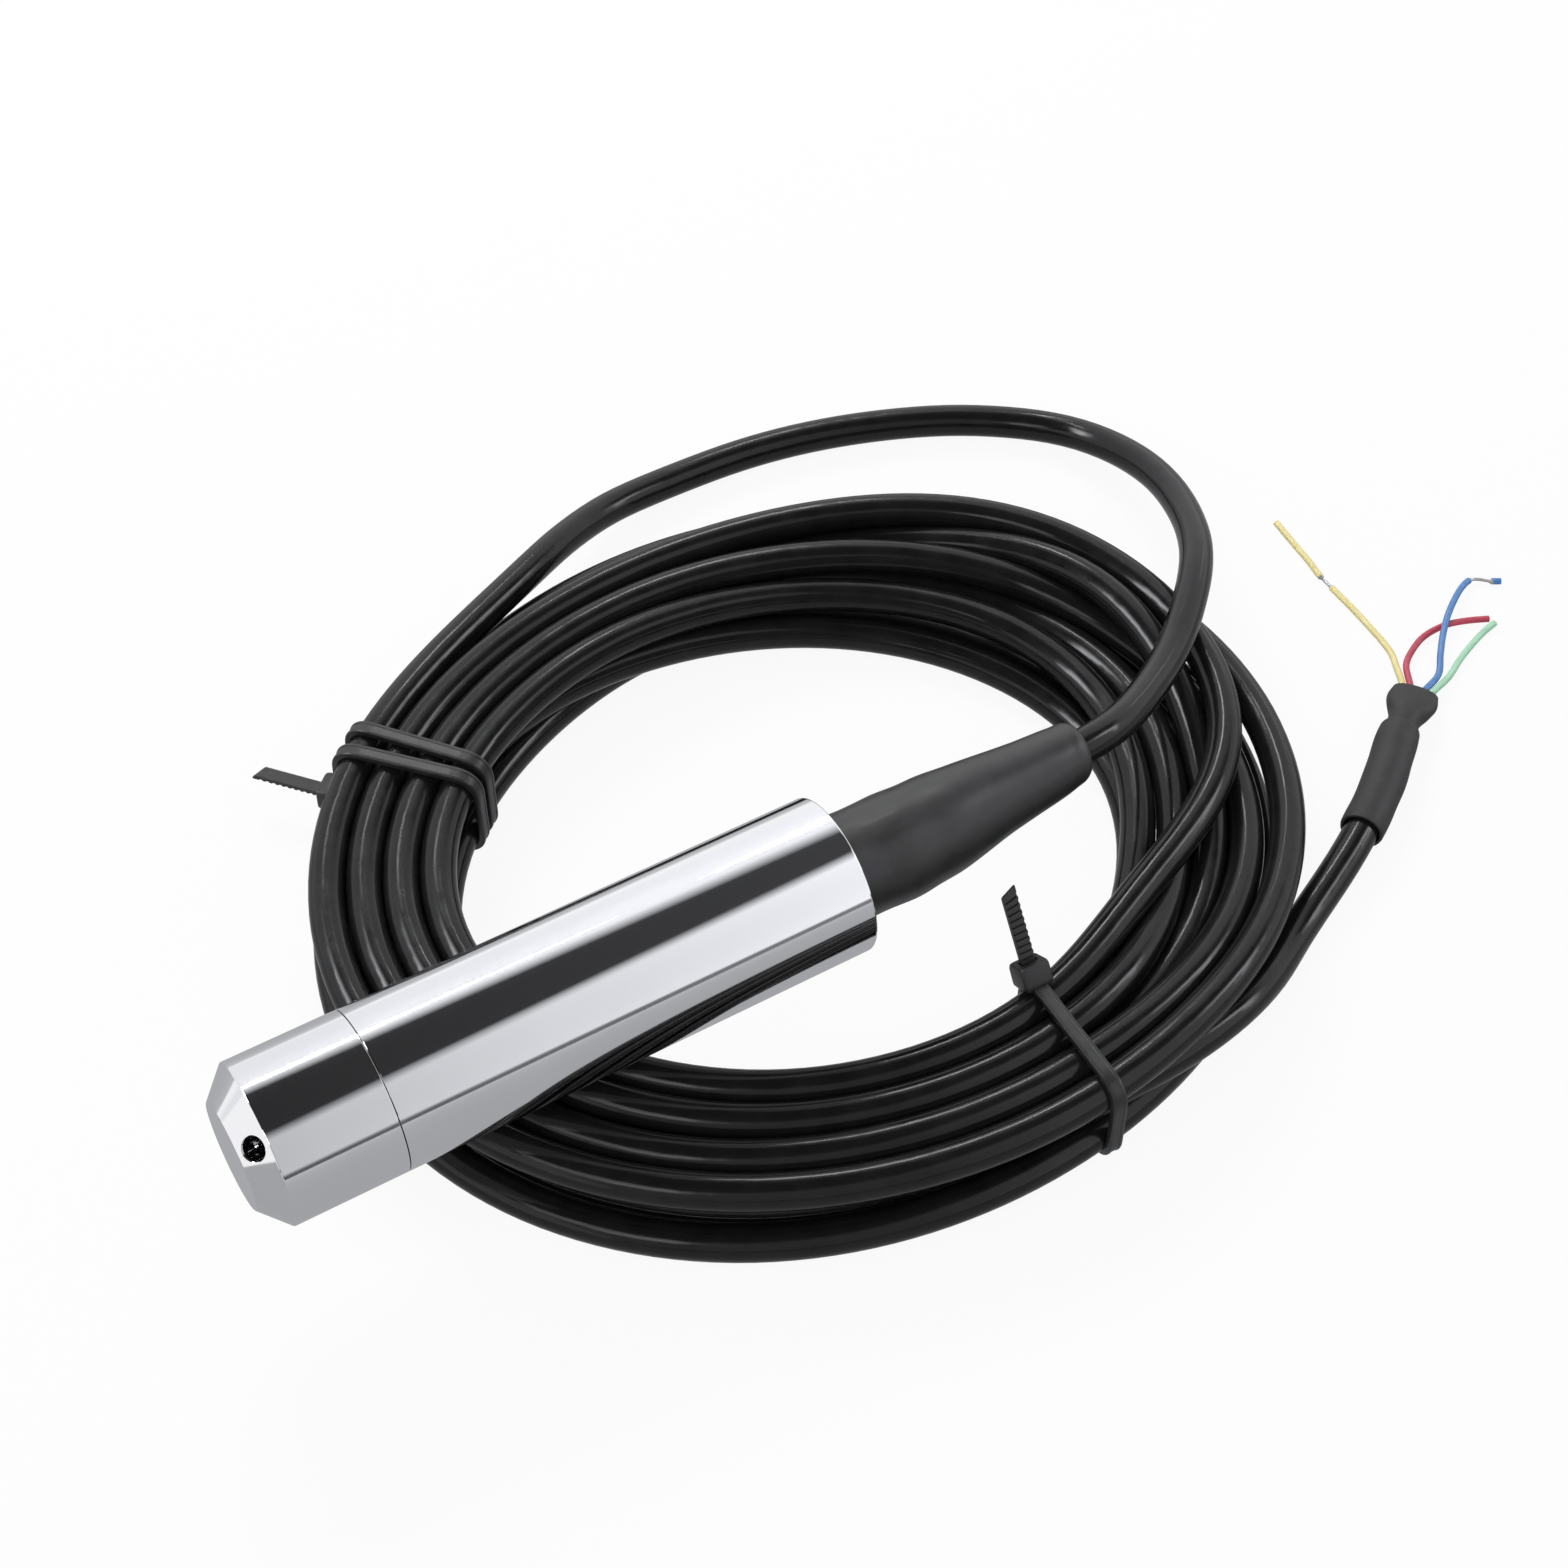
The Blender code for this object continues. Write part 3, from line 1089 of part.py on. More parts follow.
def make_ties(parent):
    make_tie("tie_left_front", LEFT_TIE_ANGLE + LEFT_TIE_SPREAD, 0.0, LEFT_FRONT_HEAD_ANGLE,
             LEFT_FRONT_TAIL, 1, parent)
    make_tie("tie_left_rear", LEFT_TIE_ANGLE - LEFT_TIE_SPREAD, 0.0, LEFT_REAR_HEAD_ANGLE,
             LEFT_REAR_TAIL, 1, parent)
    make_tie("tie_right", RIGHT_TIE_ANGLE, RIGHT_TIE_SKEW, RIGHT_HEAD_ANGLE, RIGHT_TAIL, -1,
             parent)


# Sleeves and conductors


def section_ring(centre, heading, half_width, half_height, steps=12):
    """An elliptical ring of points square to a horizontal heading."""
    across = Vector((-heading.y, heading.x, 0))
    ring = []
    for i in range(steps):
        turn = 2 * math.pi * i / steps
        ring.append(centre + across * half_width * math.cos(turn)
                    + Vector((0, 0, half_height * math.sin(turn))))
    return ring


def make_sleeve(parent):
    """The shrunk tube over the end of the jacket, drawn in at its shoulder."""
    points = smooth_points(SLEEVE_ROUTE, 4.6)
    inner = CABLE_BORE_RADIUS
    outer = inner + SLEEVE_THICKNESS
    outside = []
    inside = []
    for i, point in enumerate(points):
        ahead = points[min(i + 1, len(points) - 1)] - points[max(i - 1, 0)]
        heading = Vector((ahead.x, ahead.y, 0)).normalized()
        radius = outer - (0.35 if i == len(points) - 1 else 0.0)
        outside.append(section_ring(point, heading, radius, radius))
        inside.append(section_ring(point, heading, inner, inner))
    bm = bmesh.new()
    skin_rings(bm, outside + inside[::-1], True)
    add_object("tail_sleeve", mesh_from("tail_sleeve", bm), sleeve_polymer(), parent=parent)


def breakout_frame():
    turn = math.radians(BREAKOUT_HEADING)
    heading = Vector((math.cos(turn), math.sin(turn), 0))
    return heading, Vector((-heading.y, heading.x, 0))


def make_breakout(parent):
    """The flattened sleeve that the four conductors leave through, side by side."""
    heading, _ = breakout_frame()
    outside = []
    inside = []
    for behind, height, half_width, half_height in BREAKOUT_SECTIONS:
        centre = Vector((*BREAKOUT_RIM[:2], height)) - heading * behind
        outside.append(section_ring(centre, heading, half_width, half_height))
        inside.append(section_ring(centre, heading, half_width - BREAKOUT_WALL,
                                   half_height - BREAKOUT_WALL))
    bm = bmesh.new()
    skin_rings(bm, outside + inside[::-1], True)
    add_object("breakout_sleeve", mesh_from("breakout_sleeve", bm), sleeve_polymer(),
               parent=parent)


def conductor_points(row_place, stack_place, route):
    """One conductor: bundled in the sleeve, side by side at the rim, then its own route."""
    heading, across = breakout_frame()
    rim = Vector(BREAKOUT_RIM)
    bundle = math.copysign(BUNDLED_PLACE, row_place)
    inside = []
    for behind, height, spread, stacked in CONDUCTOR_STAGES:
        sideways = bundle + (row_place - bundle) * spread
        point = rim - heading * behind + across * sideways
        inside.append((point.x, point.y, height + stack_place * stacked))
    return smooth_points([*inside, *route], 4.4)


def make_conductors(parent):
    for colour, row_place, stack_place, route in CONDUCTORS:
        points = conductor_points(row_place, stack_place, route)
        tube("conductor_" + colour, points, CONDUCTOR_DIAMETER, wire_insulation(colour), parent)


def add_empty(name, parent=None):
    """An empty on the probe's axis that carries pieces which move together."""
    empty = bpy.data.objects.new(name, None)
    bpy.context.scene.collection.objects.link(empty)
    empty.parent = parent
    return empty


def main():
    clear_scene()
    probe = add_empty("probe_axis")
    gasket_axis = add_empty("gasket_axis", probe)
    cap_axis = add_empty("cap_axis", gasket_axis)
    make_nose_cap(cap_axis)
    make_gasket(gasket_axis)
    make_housing(probe)
    for make in (make_sensor_cell, make_diaphragm, make_sensor_o_ring, make_lock_ring,
                 make_header_pins, make_compensation_board, make_cradle, make_circuit_board,
                 make_board_parts, make_signal_leads, make_supply_leads, make_vent_tube,
                 make_gland, make_boot, make_lead, make_coil, make_tail, make_ties,
                 make_sleeve, make_breakout, make_conductors):
        make(probe)


main()
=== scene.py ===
"""Looks of the submersible level transmitter.

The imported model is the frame: the probe's axis is +X, the nose's flat end face is at the
origin and +Z is up.  The cable is one strand of its real length, settled turn by turn into the
tied coil.  Steel, boot, ties and the cable's free end are modelled finely over their CAD nodes,
and every other node keeps its shape and gets its finish.  Sizes are in millimetres times MM.
"""
import math
from contextlib import contextmanager

import bmesh
import bpy
import numpy as np
from mathutils import Matrix, Vector


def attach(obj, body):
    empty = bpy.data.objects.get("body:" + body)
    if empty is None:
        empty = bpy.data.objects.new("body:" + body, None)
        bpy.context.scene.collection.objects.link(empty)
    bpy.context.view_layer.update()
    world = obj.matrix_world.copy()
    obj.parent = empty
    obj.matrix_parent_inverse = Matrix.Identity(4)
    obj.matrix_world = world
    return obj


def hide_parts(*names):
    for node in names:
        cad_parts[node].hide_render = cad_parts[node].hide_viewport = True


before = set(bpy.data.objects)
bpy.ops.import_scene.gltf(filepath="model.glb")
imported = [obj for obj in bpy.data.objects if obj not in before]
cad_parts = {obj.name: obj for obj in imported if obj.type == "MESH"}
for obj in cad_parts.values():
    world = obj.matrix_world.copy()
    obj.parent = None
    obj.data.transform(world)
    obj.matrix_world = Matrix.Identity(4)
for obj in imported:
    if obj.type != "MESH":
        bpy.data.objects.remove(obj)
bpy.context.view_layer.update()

MM = 0.001

# Camera: place, elevation and heading that match the photograph, on a 36 mm square sensor
CAMERA_PLACE = (-46.4, -246.6, 370.8)
CAMERA_RIGHT = (0.86075, -0.50903, 0.0)
CAMERA_ELEVATION = 50.0
CAMERA_LENS = 64.63

# Probe, as in part.py
BODY_RADIUS = 14.0
SEAM = 23.9
RIM = 109.2
RIM_CHAMFER = 0.4
NOSE_FACE_RADIUS = 9.25
NOSE_CHAMFER_LENGTH = 4.4
CAP_FLOOR = 3.0
CHAMBER_RADIUS = 9.3
CHAMBER_END = 11.1
CAP_BORE_RADIUS = 12.5
MOUTH_CHAMFER = 0.4
SEAM_GAP = 0.14
INLET_RADIUS = 2.1
INLET_COUNT = 3
INLET_FIRST_ANGLE = 35.8
INLET_DEPTH = 6.4
INLET_COUNTERSINK = 0.22
INLET_SEGMENTS = 64
TURNED_SEGMENTS = 256
SPIGOT_FRONT = 12.7
SPIGOT_RADIUS = 12.2
SPIGOT_RELIEF = 0.5
THREAD_PITCH = 1.5
THREAD_DEPTH = 0.5
THREAD_SPAN = (14.2, 22.3)
THREAD_STEP = 0.125
THREAD_FLAT = 0.125
LIP_BACK = 14.3
LIP_BORE_RADIUS = 8.0
CELL_BORE_RADIUS = 9.8
TUBE_BORE_RADIUS = 11.8
CELL_BORE_END = 28.0
PLUG_SEAT = 92.9
PLUG_BORE_RADIUS = 12.4

# Boot: (distance from the rim, radius), the lean of its tip toward +Y and its bore
BOOT_FRONT = 109.5
BOOT_PROFILE = ((0.0, 9.6), (3.8, 9.4), (11.5, 9.5), (16.0, 9.2), (20.3, 9.05), (26.0, 8.3),
                (32.0, 7.45), (38.0, 6.75), (47.0, 5.8), (49.5, 5.35), (50.6, 4.6))
BOOT_TIP = 160.1
BOOT_BEND = 2.1
BOOT_BORE_RADIUS = 3.55
BOOT_LIP = 0.55
BOOT_STEPS = 110
BOOT_SEGMENTS = 120
NUT_BACK = 120.0
NUT_HEAD_RADIUS = 8.4
NUT_CLEARANCE = 0.3

# Cable, as in part.py
CABLE_RADIUS = 3.25
CABLE_START = 91.8
PLUG_BACK = 108.6
FLOOR = -33.7
LOOP_ROUTE = ((168.3, 3.7, -1.3), (181.1, 10.7, -5.6), (194.5, 19.9, -9.4),
              (204.3, 28.6, -10.6), (213.9, 38.9, -12.8), (221.7, 51.9, -17.2),
              (227.3, 69.1, -22.6), (227.2, 84.5, -27.0), (222.5, 97.0, -29.8),
              (214.1, 104.9, -30.35), (204.4, 111.2, -30.35), (184.4, 119.4, -30.35),
              (165.1, 123.6, -30.35), (145.7, 124.0, -29.8))
TAIL_ROUTE = ((194.6, -28.8, -30.35), (203.7, -24.3, -30.1), (209.8, -20.9, -29.6),
              (215.7, -17.2, -29.55), (221.9, -12.8, -29.55), (229.3, -6.9, -29.55))

# Coil: ellipse of the bundle's middle, and where its ties hold it
COIL_CENTRE = np.array((118.0, 25.0))
COIL_SEMI_AXES = np.array((77.0, 66.0))
COIL_TOP = -14.3
LEFT_TIE_ANGLE = 135.0
RIGHT_TIE_ANGLE = 280.4
TIED_FLOOR = -32.1
TIED_WIDTH = 26.4
FIRST_ANGLE = 84.0
HANDOVER_ANGLE = 95.5
LAST_TURN = 3600.0
LAST_ANGLE = LAST_TURN + 315.0
ANGLE_STEP = 3.0
ROUTE_STEP = 3.2

# Heights of the turns' rows: bottom, middle and top, held by a tie (b m t) and free (B M T)
ROWS = {"b": -28.85, "m": -23.22, "t": -17.6, "B": -30.45, "M": -24.6, "T": -18.6}


# ---- camera and stage

def add_object(name, data):
    thing = bpy.data.objects.new(name, data)
    bpy.context.scene.collection.objects.link(thing)
    return thing


def make_camera():
    """The photograph's view."""
    right = Vector(CAMERA_RIGHT).normalized()
    ahead = Vector((-right.y, right.x, 0.0))
    tilt = math.radians(CAMERA_ELEVATION)
    up = ahead * math.sin(tilt) + Vector((0, 0, math.cos(tilt)))
    back = right.cross(up)
    camera = add_object("camera", bpy.data.cameras.new("camera"))
    turn = Matrix((right, up, back)).transposed().to_4x4()
    camera.matrix_world = Matrix.Translation(Vector(CAMERA_PLACE) * MM) @ turn
    camera.data.lens = CAMERA_LENS
    camera.data.clip_start = 0.01
    camera.data.clip_end = 50.0
    bpy.context.scene.camera = camera


make_camera()


# ---- meshes

@contextmanager
def editing(mesh):
    """The mesh open for bmesh, and written back at the end."""
    made = bmesh.new()
    made.from_mesh(mesh)
    yield made
    made.to_mesh(mesh)
    made.free()


def add_mesh(name, vertices, faces, smooth=True):
    """An object from points in millimetres."""
    mesh = bpy.data.meshes.new(name)
    mesh.from_pydata([tuple(c * MM for c in v) for v in vertices], [], faces)
    mesh.validate()
    with editing(mesh) as made:
        bmesh.ops.recalc_face_normals(made, faces=made.faces)
    mesh.polygons.foreach_set("use_smooth", [smooth] * len(mesh.polygons))
    return add_object(name, mesh)


def grid_faces(rows, count, loop=False, ring=True):
    """Quads over rows of points; loop joins the last row to the first, ring each row's ends."""
    return [(i * count + j, i * count + (j + 1) % count,
             (i + 1) % rows * count + (j + 1) % count, (i + 1) % rows * count + j)
            for i in range(rows if loop else rows - 1)
            for j in range(count if ring else count - 1)]


def loft(rings, caps=True):
    """Vertices and faces of rings of points, each joined to the next."""
    count = len(rings[0])
    faces = grid_faces(len(rings), count)
    if caps:
        faces.append(tuple(range(count))[::-1])
        faces.append(tuple((len(rings) - 1) * count + j for j in range(count)))
    return [p for ring in rings for p in ring], faces


def join_meshes(name, *parts):
    """One object from several pieces, each (vertices, faces)."""
    vertices, faces = [], []
    for part_vertices, part_faces in parts:
        start = len(vertices)
        vertices += [tuple(v) for v in part_vertices]
        faces += [tuple(start + i for i in face) for face in part_faces]
    return add_mesh(name, vertices, faces)


def split_edges(thing, angle):
    """Keep edges sharper than the angle crisp under smooth shading."""
    with editing(thing.data) as made:
        for edge in made.edges:
            if len(edge.link_faces) == 2 and edge.calc_face_angle(0.0) > math.radians(angle):
                edge.smooth = False


def weld(thing):
    """Join doubled vertices and turn every face outward."""
    with editing(thing.data) as made:
        bmesh.ops.remove_doubles(made, verts=made.verts, dist=1e-7)
        bmesh.ops.recalc_face_normals(made, faces=made.faces)


def soft_tube(name, rings):
    """A tube's outside and bore as one closed skin, crisp only at its folds."""
    thing = join_meshes(name, loft(rings + rings[:1], caps=False))
    weld(thing)
    split_edges(thing, 50)
    return thing


def spokes(count):
    """Angles evenly spaced round a turn."""
    return [2 * math.pi * i / count for i in range(count)]


def lathe(name, corners, radii):
    """A closed profile of (x, radius) with rounded corners, turned round the X axis."""
    profile = round_profile(corners, radii)
    count = len(profile)
    vertices = [(x, r * math.cos(turn), r * math.sin(turn))
                for turn in spokes(TURNED_SEGMENTS) for x, r in profile]
    faces = [face for face in grid_faces(TURNED_SEGMENTS, count, loop=True)
             if profile[face[0] % count][1] or profile[face[1] % count][1]]
    thing = add_mesh(name, vertices, faces)
    weld(thing)
    return thing


def round_profile(points, radii, steps=4):
    """Round the corners of a closed profile; a radius of 0 leaves a corner as it is."""
    rounded = []
    count = len(points)
    for i, (here, radius) in enumerate(zip(points, radii)):
        if radius == 0:
            rounded.append(here)
            continue
        here = Vector(here)
        before = (Vector(points[i - 1]) - here).normalized()
        after = (Vector(points[(i + 1) % count]) - here).normalized()
        half = before.angle(after) / 2
        reach = radius / math.tan(half)
        middle = here + (before + after).normalized() * (radius / math.sin(half))
        start, end = here + before * reach - middle, here + after * reach - middle
        for k in range(steps + 1):
            rounded.append(tuple(middle + start.slerp(end, k / steps) * radius))
    return rounded


# ---- cable

# Each turn in the bundle, by angle round the coil: rows, and distances outward
STATIONS = {
    135.0: ("tbbbbmtttmm", (8.6, 9.75, 3.25, -3.25, -9.75, -9.0, -7.2, 2.3, -2.5, -2.4, 6.0)),
    165.0: ("tbbbbmtttmm", (8.0, 9.5, 3.1, -3.4, -9.6, -9.2, -7.4, 1.8, -3.9, -2.8, 4.9)),
    200.0: ("TBBBBMTTTMM", (7.8, 10.3, 3.8, -2.7, -9.2, -10.5, -11.5, 1.3, -5.1, -4.0, 3.5)),
    240.0: ("TBBBBMTTTMM", (6.4, 9.6, 3.1, -3.4, -9.9, -9.0, -12.0, 0.1, -6.2, -2.6, 6.4)),
    262.0: ("TBBBBMTTTMM", (5.8, 9.4, 2.9, -3.6, -10.1, -8.6, -11.8, -0.4, -6.4, -2.2, 6.2)),
    280.4: ("tbbbbmtttmm", (3.9, 9.75, 3.25, -3.25, -9.75, -6.5, -9.75, -0.6, -5.2, 0.0, 7.0)),
    310.0: ("MBBBBMTMTM", (9.5, 8.8, 2.3, -4.2, -10.7, -9.0, -5.5, 6.0, -8.8, -1.5)),
    350.0: ("MBBBBMTMMT", (15.2, 6.0, -0.5, -7.0, -13.5, -10.4, 4.0, 1.5, -4.0, -2.6)),
    20.0: ("MBBBBMTMMT", (14.2, 8.0, 1.5, -5.0, -11.5, -8.4, 6.0, 3.0, -2.5, -0.6)),
    50.0: ("MBBBBMTTMM", (12.4, 10.0, 3.5, -3.0, -9.5, -6.4, 4.8, -1.7, 0.2, 6.4)),
    95.0: ("MBBBMTTTMM", (10.4, 6.5, 0.0, -6.5, -9.9, -8.9, 3.9, -2.5, -3.2, 3.4)),
}
# Turns that lie off their row: {(station, turn): how much higher}
OFF_ROW = {(135.0, 0): 0.3, (135.0, 7): 0.3, (280.4, 8): 0.2, (310.0, 0): 3.0,
           (310.0, 8): -2.5, (350.0, 0): 1.0, (20.0, 0): 1.0, (95.0, 0): 2.0}
LEAD_IN = ((84.0, 30.5, -27.2), (88.0, 26.5, -25.4), (91.5, 23.2, -23.4), (95.5, 19.7, -22.2),
           (105.0, 14.5, -20.6), (117.0, 11.0, -18.6))
TAIL_OUT = ((290.0, 9.8, -23.6), (297.0, 11.9, -23.6), (304.0, 14.3, -25.6),
            (311.0, 16.2, -28.8), (315.3, 16.7, -30.35))


def ring_point(angle):
    """Point and outward normal of the ellipse at angles in degrees."""
    turn = np.radians(angle)
    spoke = np.stack([np.cos(turn), np.sin(turn)], -1)
    normal = spoke / COIL_SEMI_AXES
    return (COIL_CENTRE + COIL_SEMI_AXES * spoke,
            normal / np.linalg.norm(normal, axis=-1, keepdims=True))


def strand_knots():
    """All the places that the strand passes, in order of its angle."""
    knots = list(LEAD_IN)
    for angle, (rows, places) in STATIONS.items():
        for turn, (row, outward) in enumerate(zip(rows, places)):
            knots.append((angle + 360.0 * (turn + (angle < HANDOVER_ANGLE)), outward,
                          ROWS[row] + OFF_ROW.get((angle, turn), 0.0)))
    knots = [k for k in knots if k[0] <= RIGHT_TIE_ANGLE + LAST_TURN + 1]
    knots += [(angle + LAST_TURN, outward, height) for angle, outward, height in TAIL_OUT]
    return np.array(sorted(knots))


def smooth_path(knots, where):
    """Cubic Hermite curve through knots of (place, a, b), read at the given places."""
    x = knots[:, 0]
    i = np.clip(np.searchsorted(x, where, "right") - 1, 0, len(x) - 2)
    width = x[i + 1] - x[i]
    s = (where - x[i]) / width
    columns = []
    for c in range(1, knots.shape[1]):
        y = knots[:, c]
        slope = np.gradient(y, x)
        columns.append((2 * s**3 - 3 * s**2 + 1) * y[i] + (s**3 - 2 * s**2 + s) * width * slope[i]
                       + (-2 * s**3 + 3 * s**2) * y[i + 1] + (s**3 - s**2) * width * slope[i + 1])
    return np.stack(columns, -1)


def tied_share(angle):
    """1 where a tie holds the bundle, 0 where it lies free."""
    share = np.zeros_like(angle)
    for tie in (LEFT_TIE_ANGLE, RIGHT_TIE_ANGLE):
        away = np.abs((angle - tie + 180) % 360 - 180)
        ramp = np.clip((24.0 - away) / 16.0, 0, 1)
        share = np.maximum(share, ramp**2 * (3 - 2 * ramp))
    return share


def bending(count, stiffness):
    """How evenly spaced points hold each other straight, as a matrix."""
    second = np.diff(np.eye(count), 2, axis=0)
    return np.eye(count) + stiffness * second.T @ second


def settle(rounds=200, stiffness=20.0):
    """Lay the turns in the bundle so that each rests on the others, a diameter apart.

    Each round draws the strand toward its stations, lets it sink, pushes turns that meet
    apart, and then straightens the strand as far as its stiffness asks.
    """
    angle = np.arange(FIRST_ANGLE, LAST_ANGLE + 0.1, ANGLE_STEP)
    count = len(angle)
    aim = smooth_path(strand_knots(), angle)
    place = aim.copy()
    share = tied_share(angle % 360)
    floor = FLOOR + CABLE_RADIUS + (TIED_FLOOR - FLOOR) * share
    ceiling = COIL_TOP - CABLE_RADIUS
    side = np.where(share > 0.98, TIED_WIDTH / 2 - CABLE_RADIUS, 99.0)
    turn = round(360 / ANGLE_STEP)
    step_length = math.radians(ANGLE_STEP) * sum(COIL_SEMI_AXES) / 2
    one, two = np.array([(i, i + lag * turn + offset) for lag in range(1, 11)
                         for offset in (-1, 0, 1)
                         for i in range(count - lag * turn - offset)]).T
    along = np.where((two - one) % turn, step_length, 0.0)
    apart = np.sqrt((2.01 * CABLE_RADIUS)**2 - along**2)

    free = (angle > 100.0) & (angle < LAST_ANGLE - 8)
    held = ~free
    bend = bending(count, stiffness)
    straighten = np.linalg.inv(bend[np.ix_(free, free)])
    from_held = -straighten @ bend[np.ix_(free, held)]
    for step in range(rounds):
        place[free] += (aim - place)[free] * (0.05 if step < rounds / 2 else 0.01)
        place[free, 1] -= 0.02
        for _ in range(4):
            gap = place[two] - place[one]
            distance = np.linalg.norm(gap, axis=1)
            push = apart - distance
            hit = push > 0
            move = gap[hit] / np.maximum(distance[hit], 1e-6)[:, None] * push[hit, None] * 0.5
            total = np.zeros_like(place)
            touches = np.zeros(count)
            for strand, way in ((one[hit], -move), (two[hit], move)):
                np.add.at(total, strand, way)
                np.add.at(touches, strand, 1)
            place[free] += (total / np.maximum(touches, 1)[:, None] * 1.3)[free]
            place[free, 1] = np.clip(place[free, 1], floor[free], ceiling)
            place[free, 0] = np.clip(place[free, 0], -side[free], side[free])
        place[free] = straighten @ place[free] + from_held @ place[held]
    point, normal = ring_point(angle % 360)
    return np.column_stack([point + normal * place[:, :1], place[:, 1]])


def through(points, step):
    """Smooth curve through points, as closely spaced as step."""
    points = np.array(points, float)
    ends = np.vstack([2 * points[0] - points[1], points, 2 * points[-1] - points[-2]])
    path = []
    for i in range(1, len(ends) - 2):
        a, b, c, d = ends[i - 1:i + 3]
        count = max(2, int(np.linalg.norm(c - b) / step))
        t01, t12, t23 = (max(np.linalg.norm(q - p), 1e-6)**0.5
                         for p, q in ((a, b), (b, c), (c, d)))
        m1 = c - b + t12 * ((b - a) / t01 - (c - a) / (t01 + t12))
        m2 = c - b + t12 * ((d - c) / t23 - (d - b) / (t12 + t23))
        for s in np.arange(count) / count:
            path.append((2 * (b - c) + m1 + m2) * s**3
                        + (3 * (c - b) - 2 * m1 - m2) * s**2 + m1 * s + b)
    path.append(points[-1])
    return np.array(path)


def boot_lean(x):
    """Sideways place of the boot's middle line."""
    start = NUT_BACK - 2.0
    return BOOT_BEND * max(0.0, (x - start) / (BOOT_TIP - start))**1.6


def path_length(path):
    return float(np.linalg.norm(np.diff(path, axis=0), axis=1).sum())


def resample(path, count):
    """The same path as a number of evenly spaced points."""
    lengths = np.linalg.norm(np.diff(path, axis=0), axis=1)
    travelled = np.concatenate([[0.0], np.cumsum(lengths)])
    stops = np.linspace(0.0, travelled[-1], count)
    return np.stack([np.interp(stops, travelled, column) for column in path.T], -1)


def even(path, step):
    """The same path with its points a step apart."""
    return resample(path, round(path_length(path) / step) + 1)


def fair(path, stiffness):
    """Ease the small kinks out of an evenly spaced path, with both ends kept."""
    count = len(path)
    bend = bending(count, stiffness)
    inner = slice(2, count - 2)
    ends = [0, 1, count - 2, count - 1]
    eased = path.copy()
    known = path[inner] - bend[inner][:, ends] @ path[ends]
    eased[inner] = np.linalg.solve(bend[inner, inner], known)
    return eased


def cable_route():
    """The whole cable: through the gland and the boot, round the loop, the coil and the tail."""
    stops = (CABLE_START, PLUG_BACK, NUT_BACK - 4, NUT_BACK + 10, NUT_BACK + 22, BOOT_TIP - 8)
    inside = [(x, boot_lean(x), 0.0) for x in stops]
    inside.append((BOOT_TIP, boot_lean(BOOT_TIP), -0.1))
    coil = settle()
    before = through(inside + list(LOOP_ROUTE) + [tuple(coil[0]), tuple(coil[1])], 4.0)
    after = through([tuple(coil[-2]), tuple(coil[-1])] + list(TAIL_ROUTE), 4.0)
    first = np.argmin(np.linalg.norm(before - coil[0], axis=1))
    last = np.argmin(np.linalg.norm(after - coil[-1], axis=1))
    return fair(even(np.vstack([before[:first], coil, after[last + 1:]]), ROUTE_STEP), 3.0)


def add_curve(name, route, radius, sides=10):
    """A round strand along a route in millimetres, of one radius or one for each point."""
    curve = bpy.data.curves.new(name, "CURVE")
    curve.dimensions = "3D"
    curve.bevel_depth = 1.0
    curve.bevel_resolution = sides
    curve.use_fill_caps = True
    curve.twist_mode = "Z_UP"
    spline = curve.splines.new("POLY")
    spline.points.add(len(route) - 1)
    flat = np.column_stack([np.array(route) * MM, np.ones(len(route))])
    spline.points.foreach_set("co", flat.ravel())
    spline.points.foreach_set("radius", np.broadcast_to(radius, len(route)) * MM)
    spline.use_smooth = True
    return add_object(name, curve)


def build_cable():
    route = cable_route()
    cable = add_curve("cable", route, CABLE_RADIUS)
    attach(cable, "probe")
    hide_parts("cable_lead", "cable_coil", "cable_tail")
    return cable, route


cable, CABLE = build_cable()


# Conductors, as in part.py: colour, place in the breakout's row, height in the cable, route
BREAKOUT_RIM = (241.4, 1.95, -31.2)
BREAKOUT_HEADING = 35.9
CONDUCTOR_RADIUS = 0.65
CONDUCTOR_STAGES = ((13.4, -29.6, 0.0, 1.0), (9.6, -29.75, 0.0, 1.0), (6.8, -30.15, 0.5, 1.0),
                    (3.9, -30.6, 1.0, 0.4), (0.0, -31.2, 1.0, 0.0))
BUNDLED_PLACE = 0.85
CONDUCTORS = (
    ("yellow", 2.7, 0.8, ((242.9, 9.6, -32.3), (244.8, 13.6, -32.9), (245.3, 17.3, -32.9),
        (245.5, 21.4, -32.9), (245.7, 26.2, -32.9), (245.7, 33.1, -32.9), (245.7, 37.1, -32.9),
        (246.3, 41.8, -32.9), (246.7, 47.1, -32.9), (247.3, 53.7, -32.9))),
    ("red", 1.15, -0.8, ((244.9, 9.1, -32.3), (248.8, 11.9, -32.9), (252.5, 13.5, -32.9),
        (256.0, 14.0, -32.9), (259.4, 13.8, -32.9), (263.3, 12.6, -32.9), (267.1, 10.9, -32.9))),
    ("blue", -1.15, 0.8, ((248.2, 3.5, -31.6), (251.5, 7.1, -31.3), (255.2, 10.9, -31.3),
        (259.3, 14.5, -31.3), (263.7, 17.6, -31.6), (268.0, 20.1, -32.3), (270.8, 21.0, -32.8),
        (272.4, 20.3, -32.9), (274.1, 18.7, -32.9), (275.8, 17.7, -32.9))),
    ("green", -2.7, -0.8, ((250.1, 2.5, -32.4), (255.5, 5.4, -32.9), (260.6, 7.5, -32.9),
        (264.5, 8.8, -32.9), (267.3, 9.4, -32.9))),
)
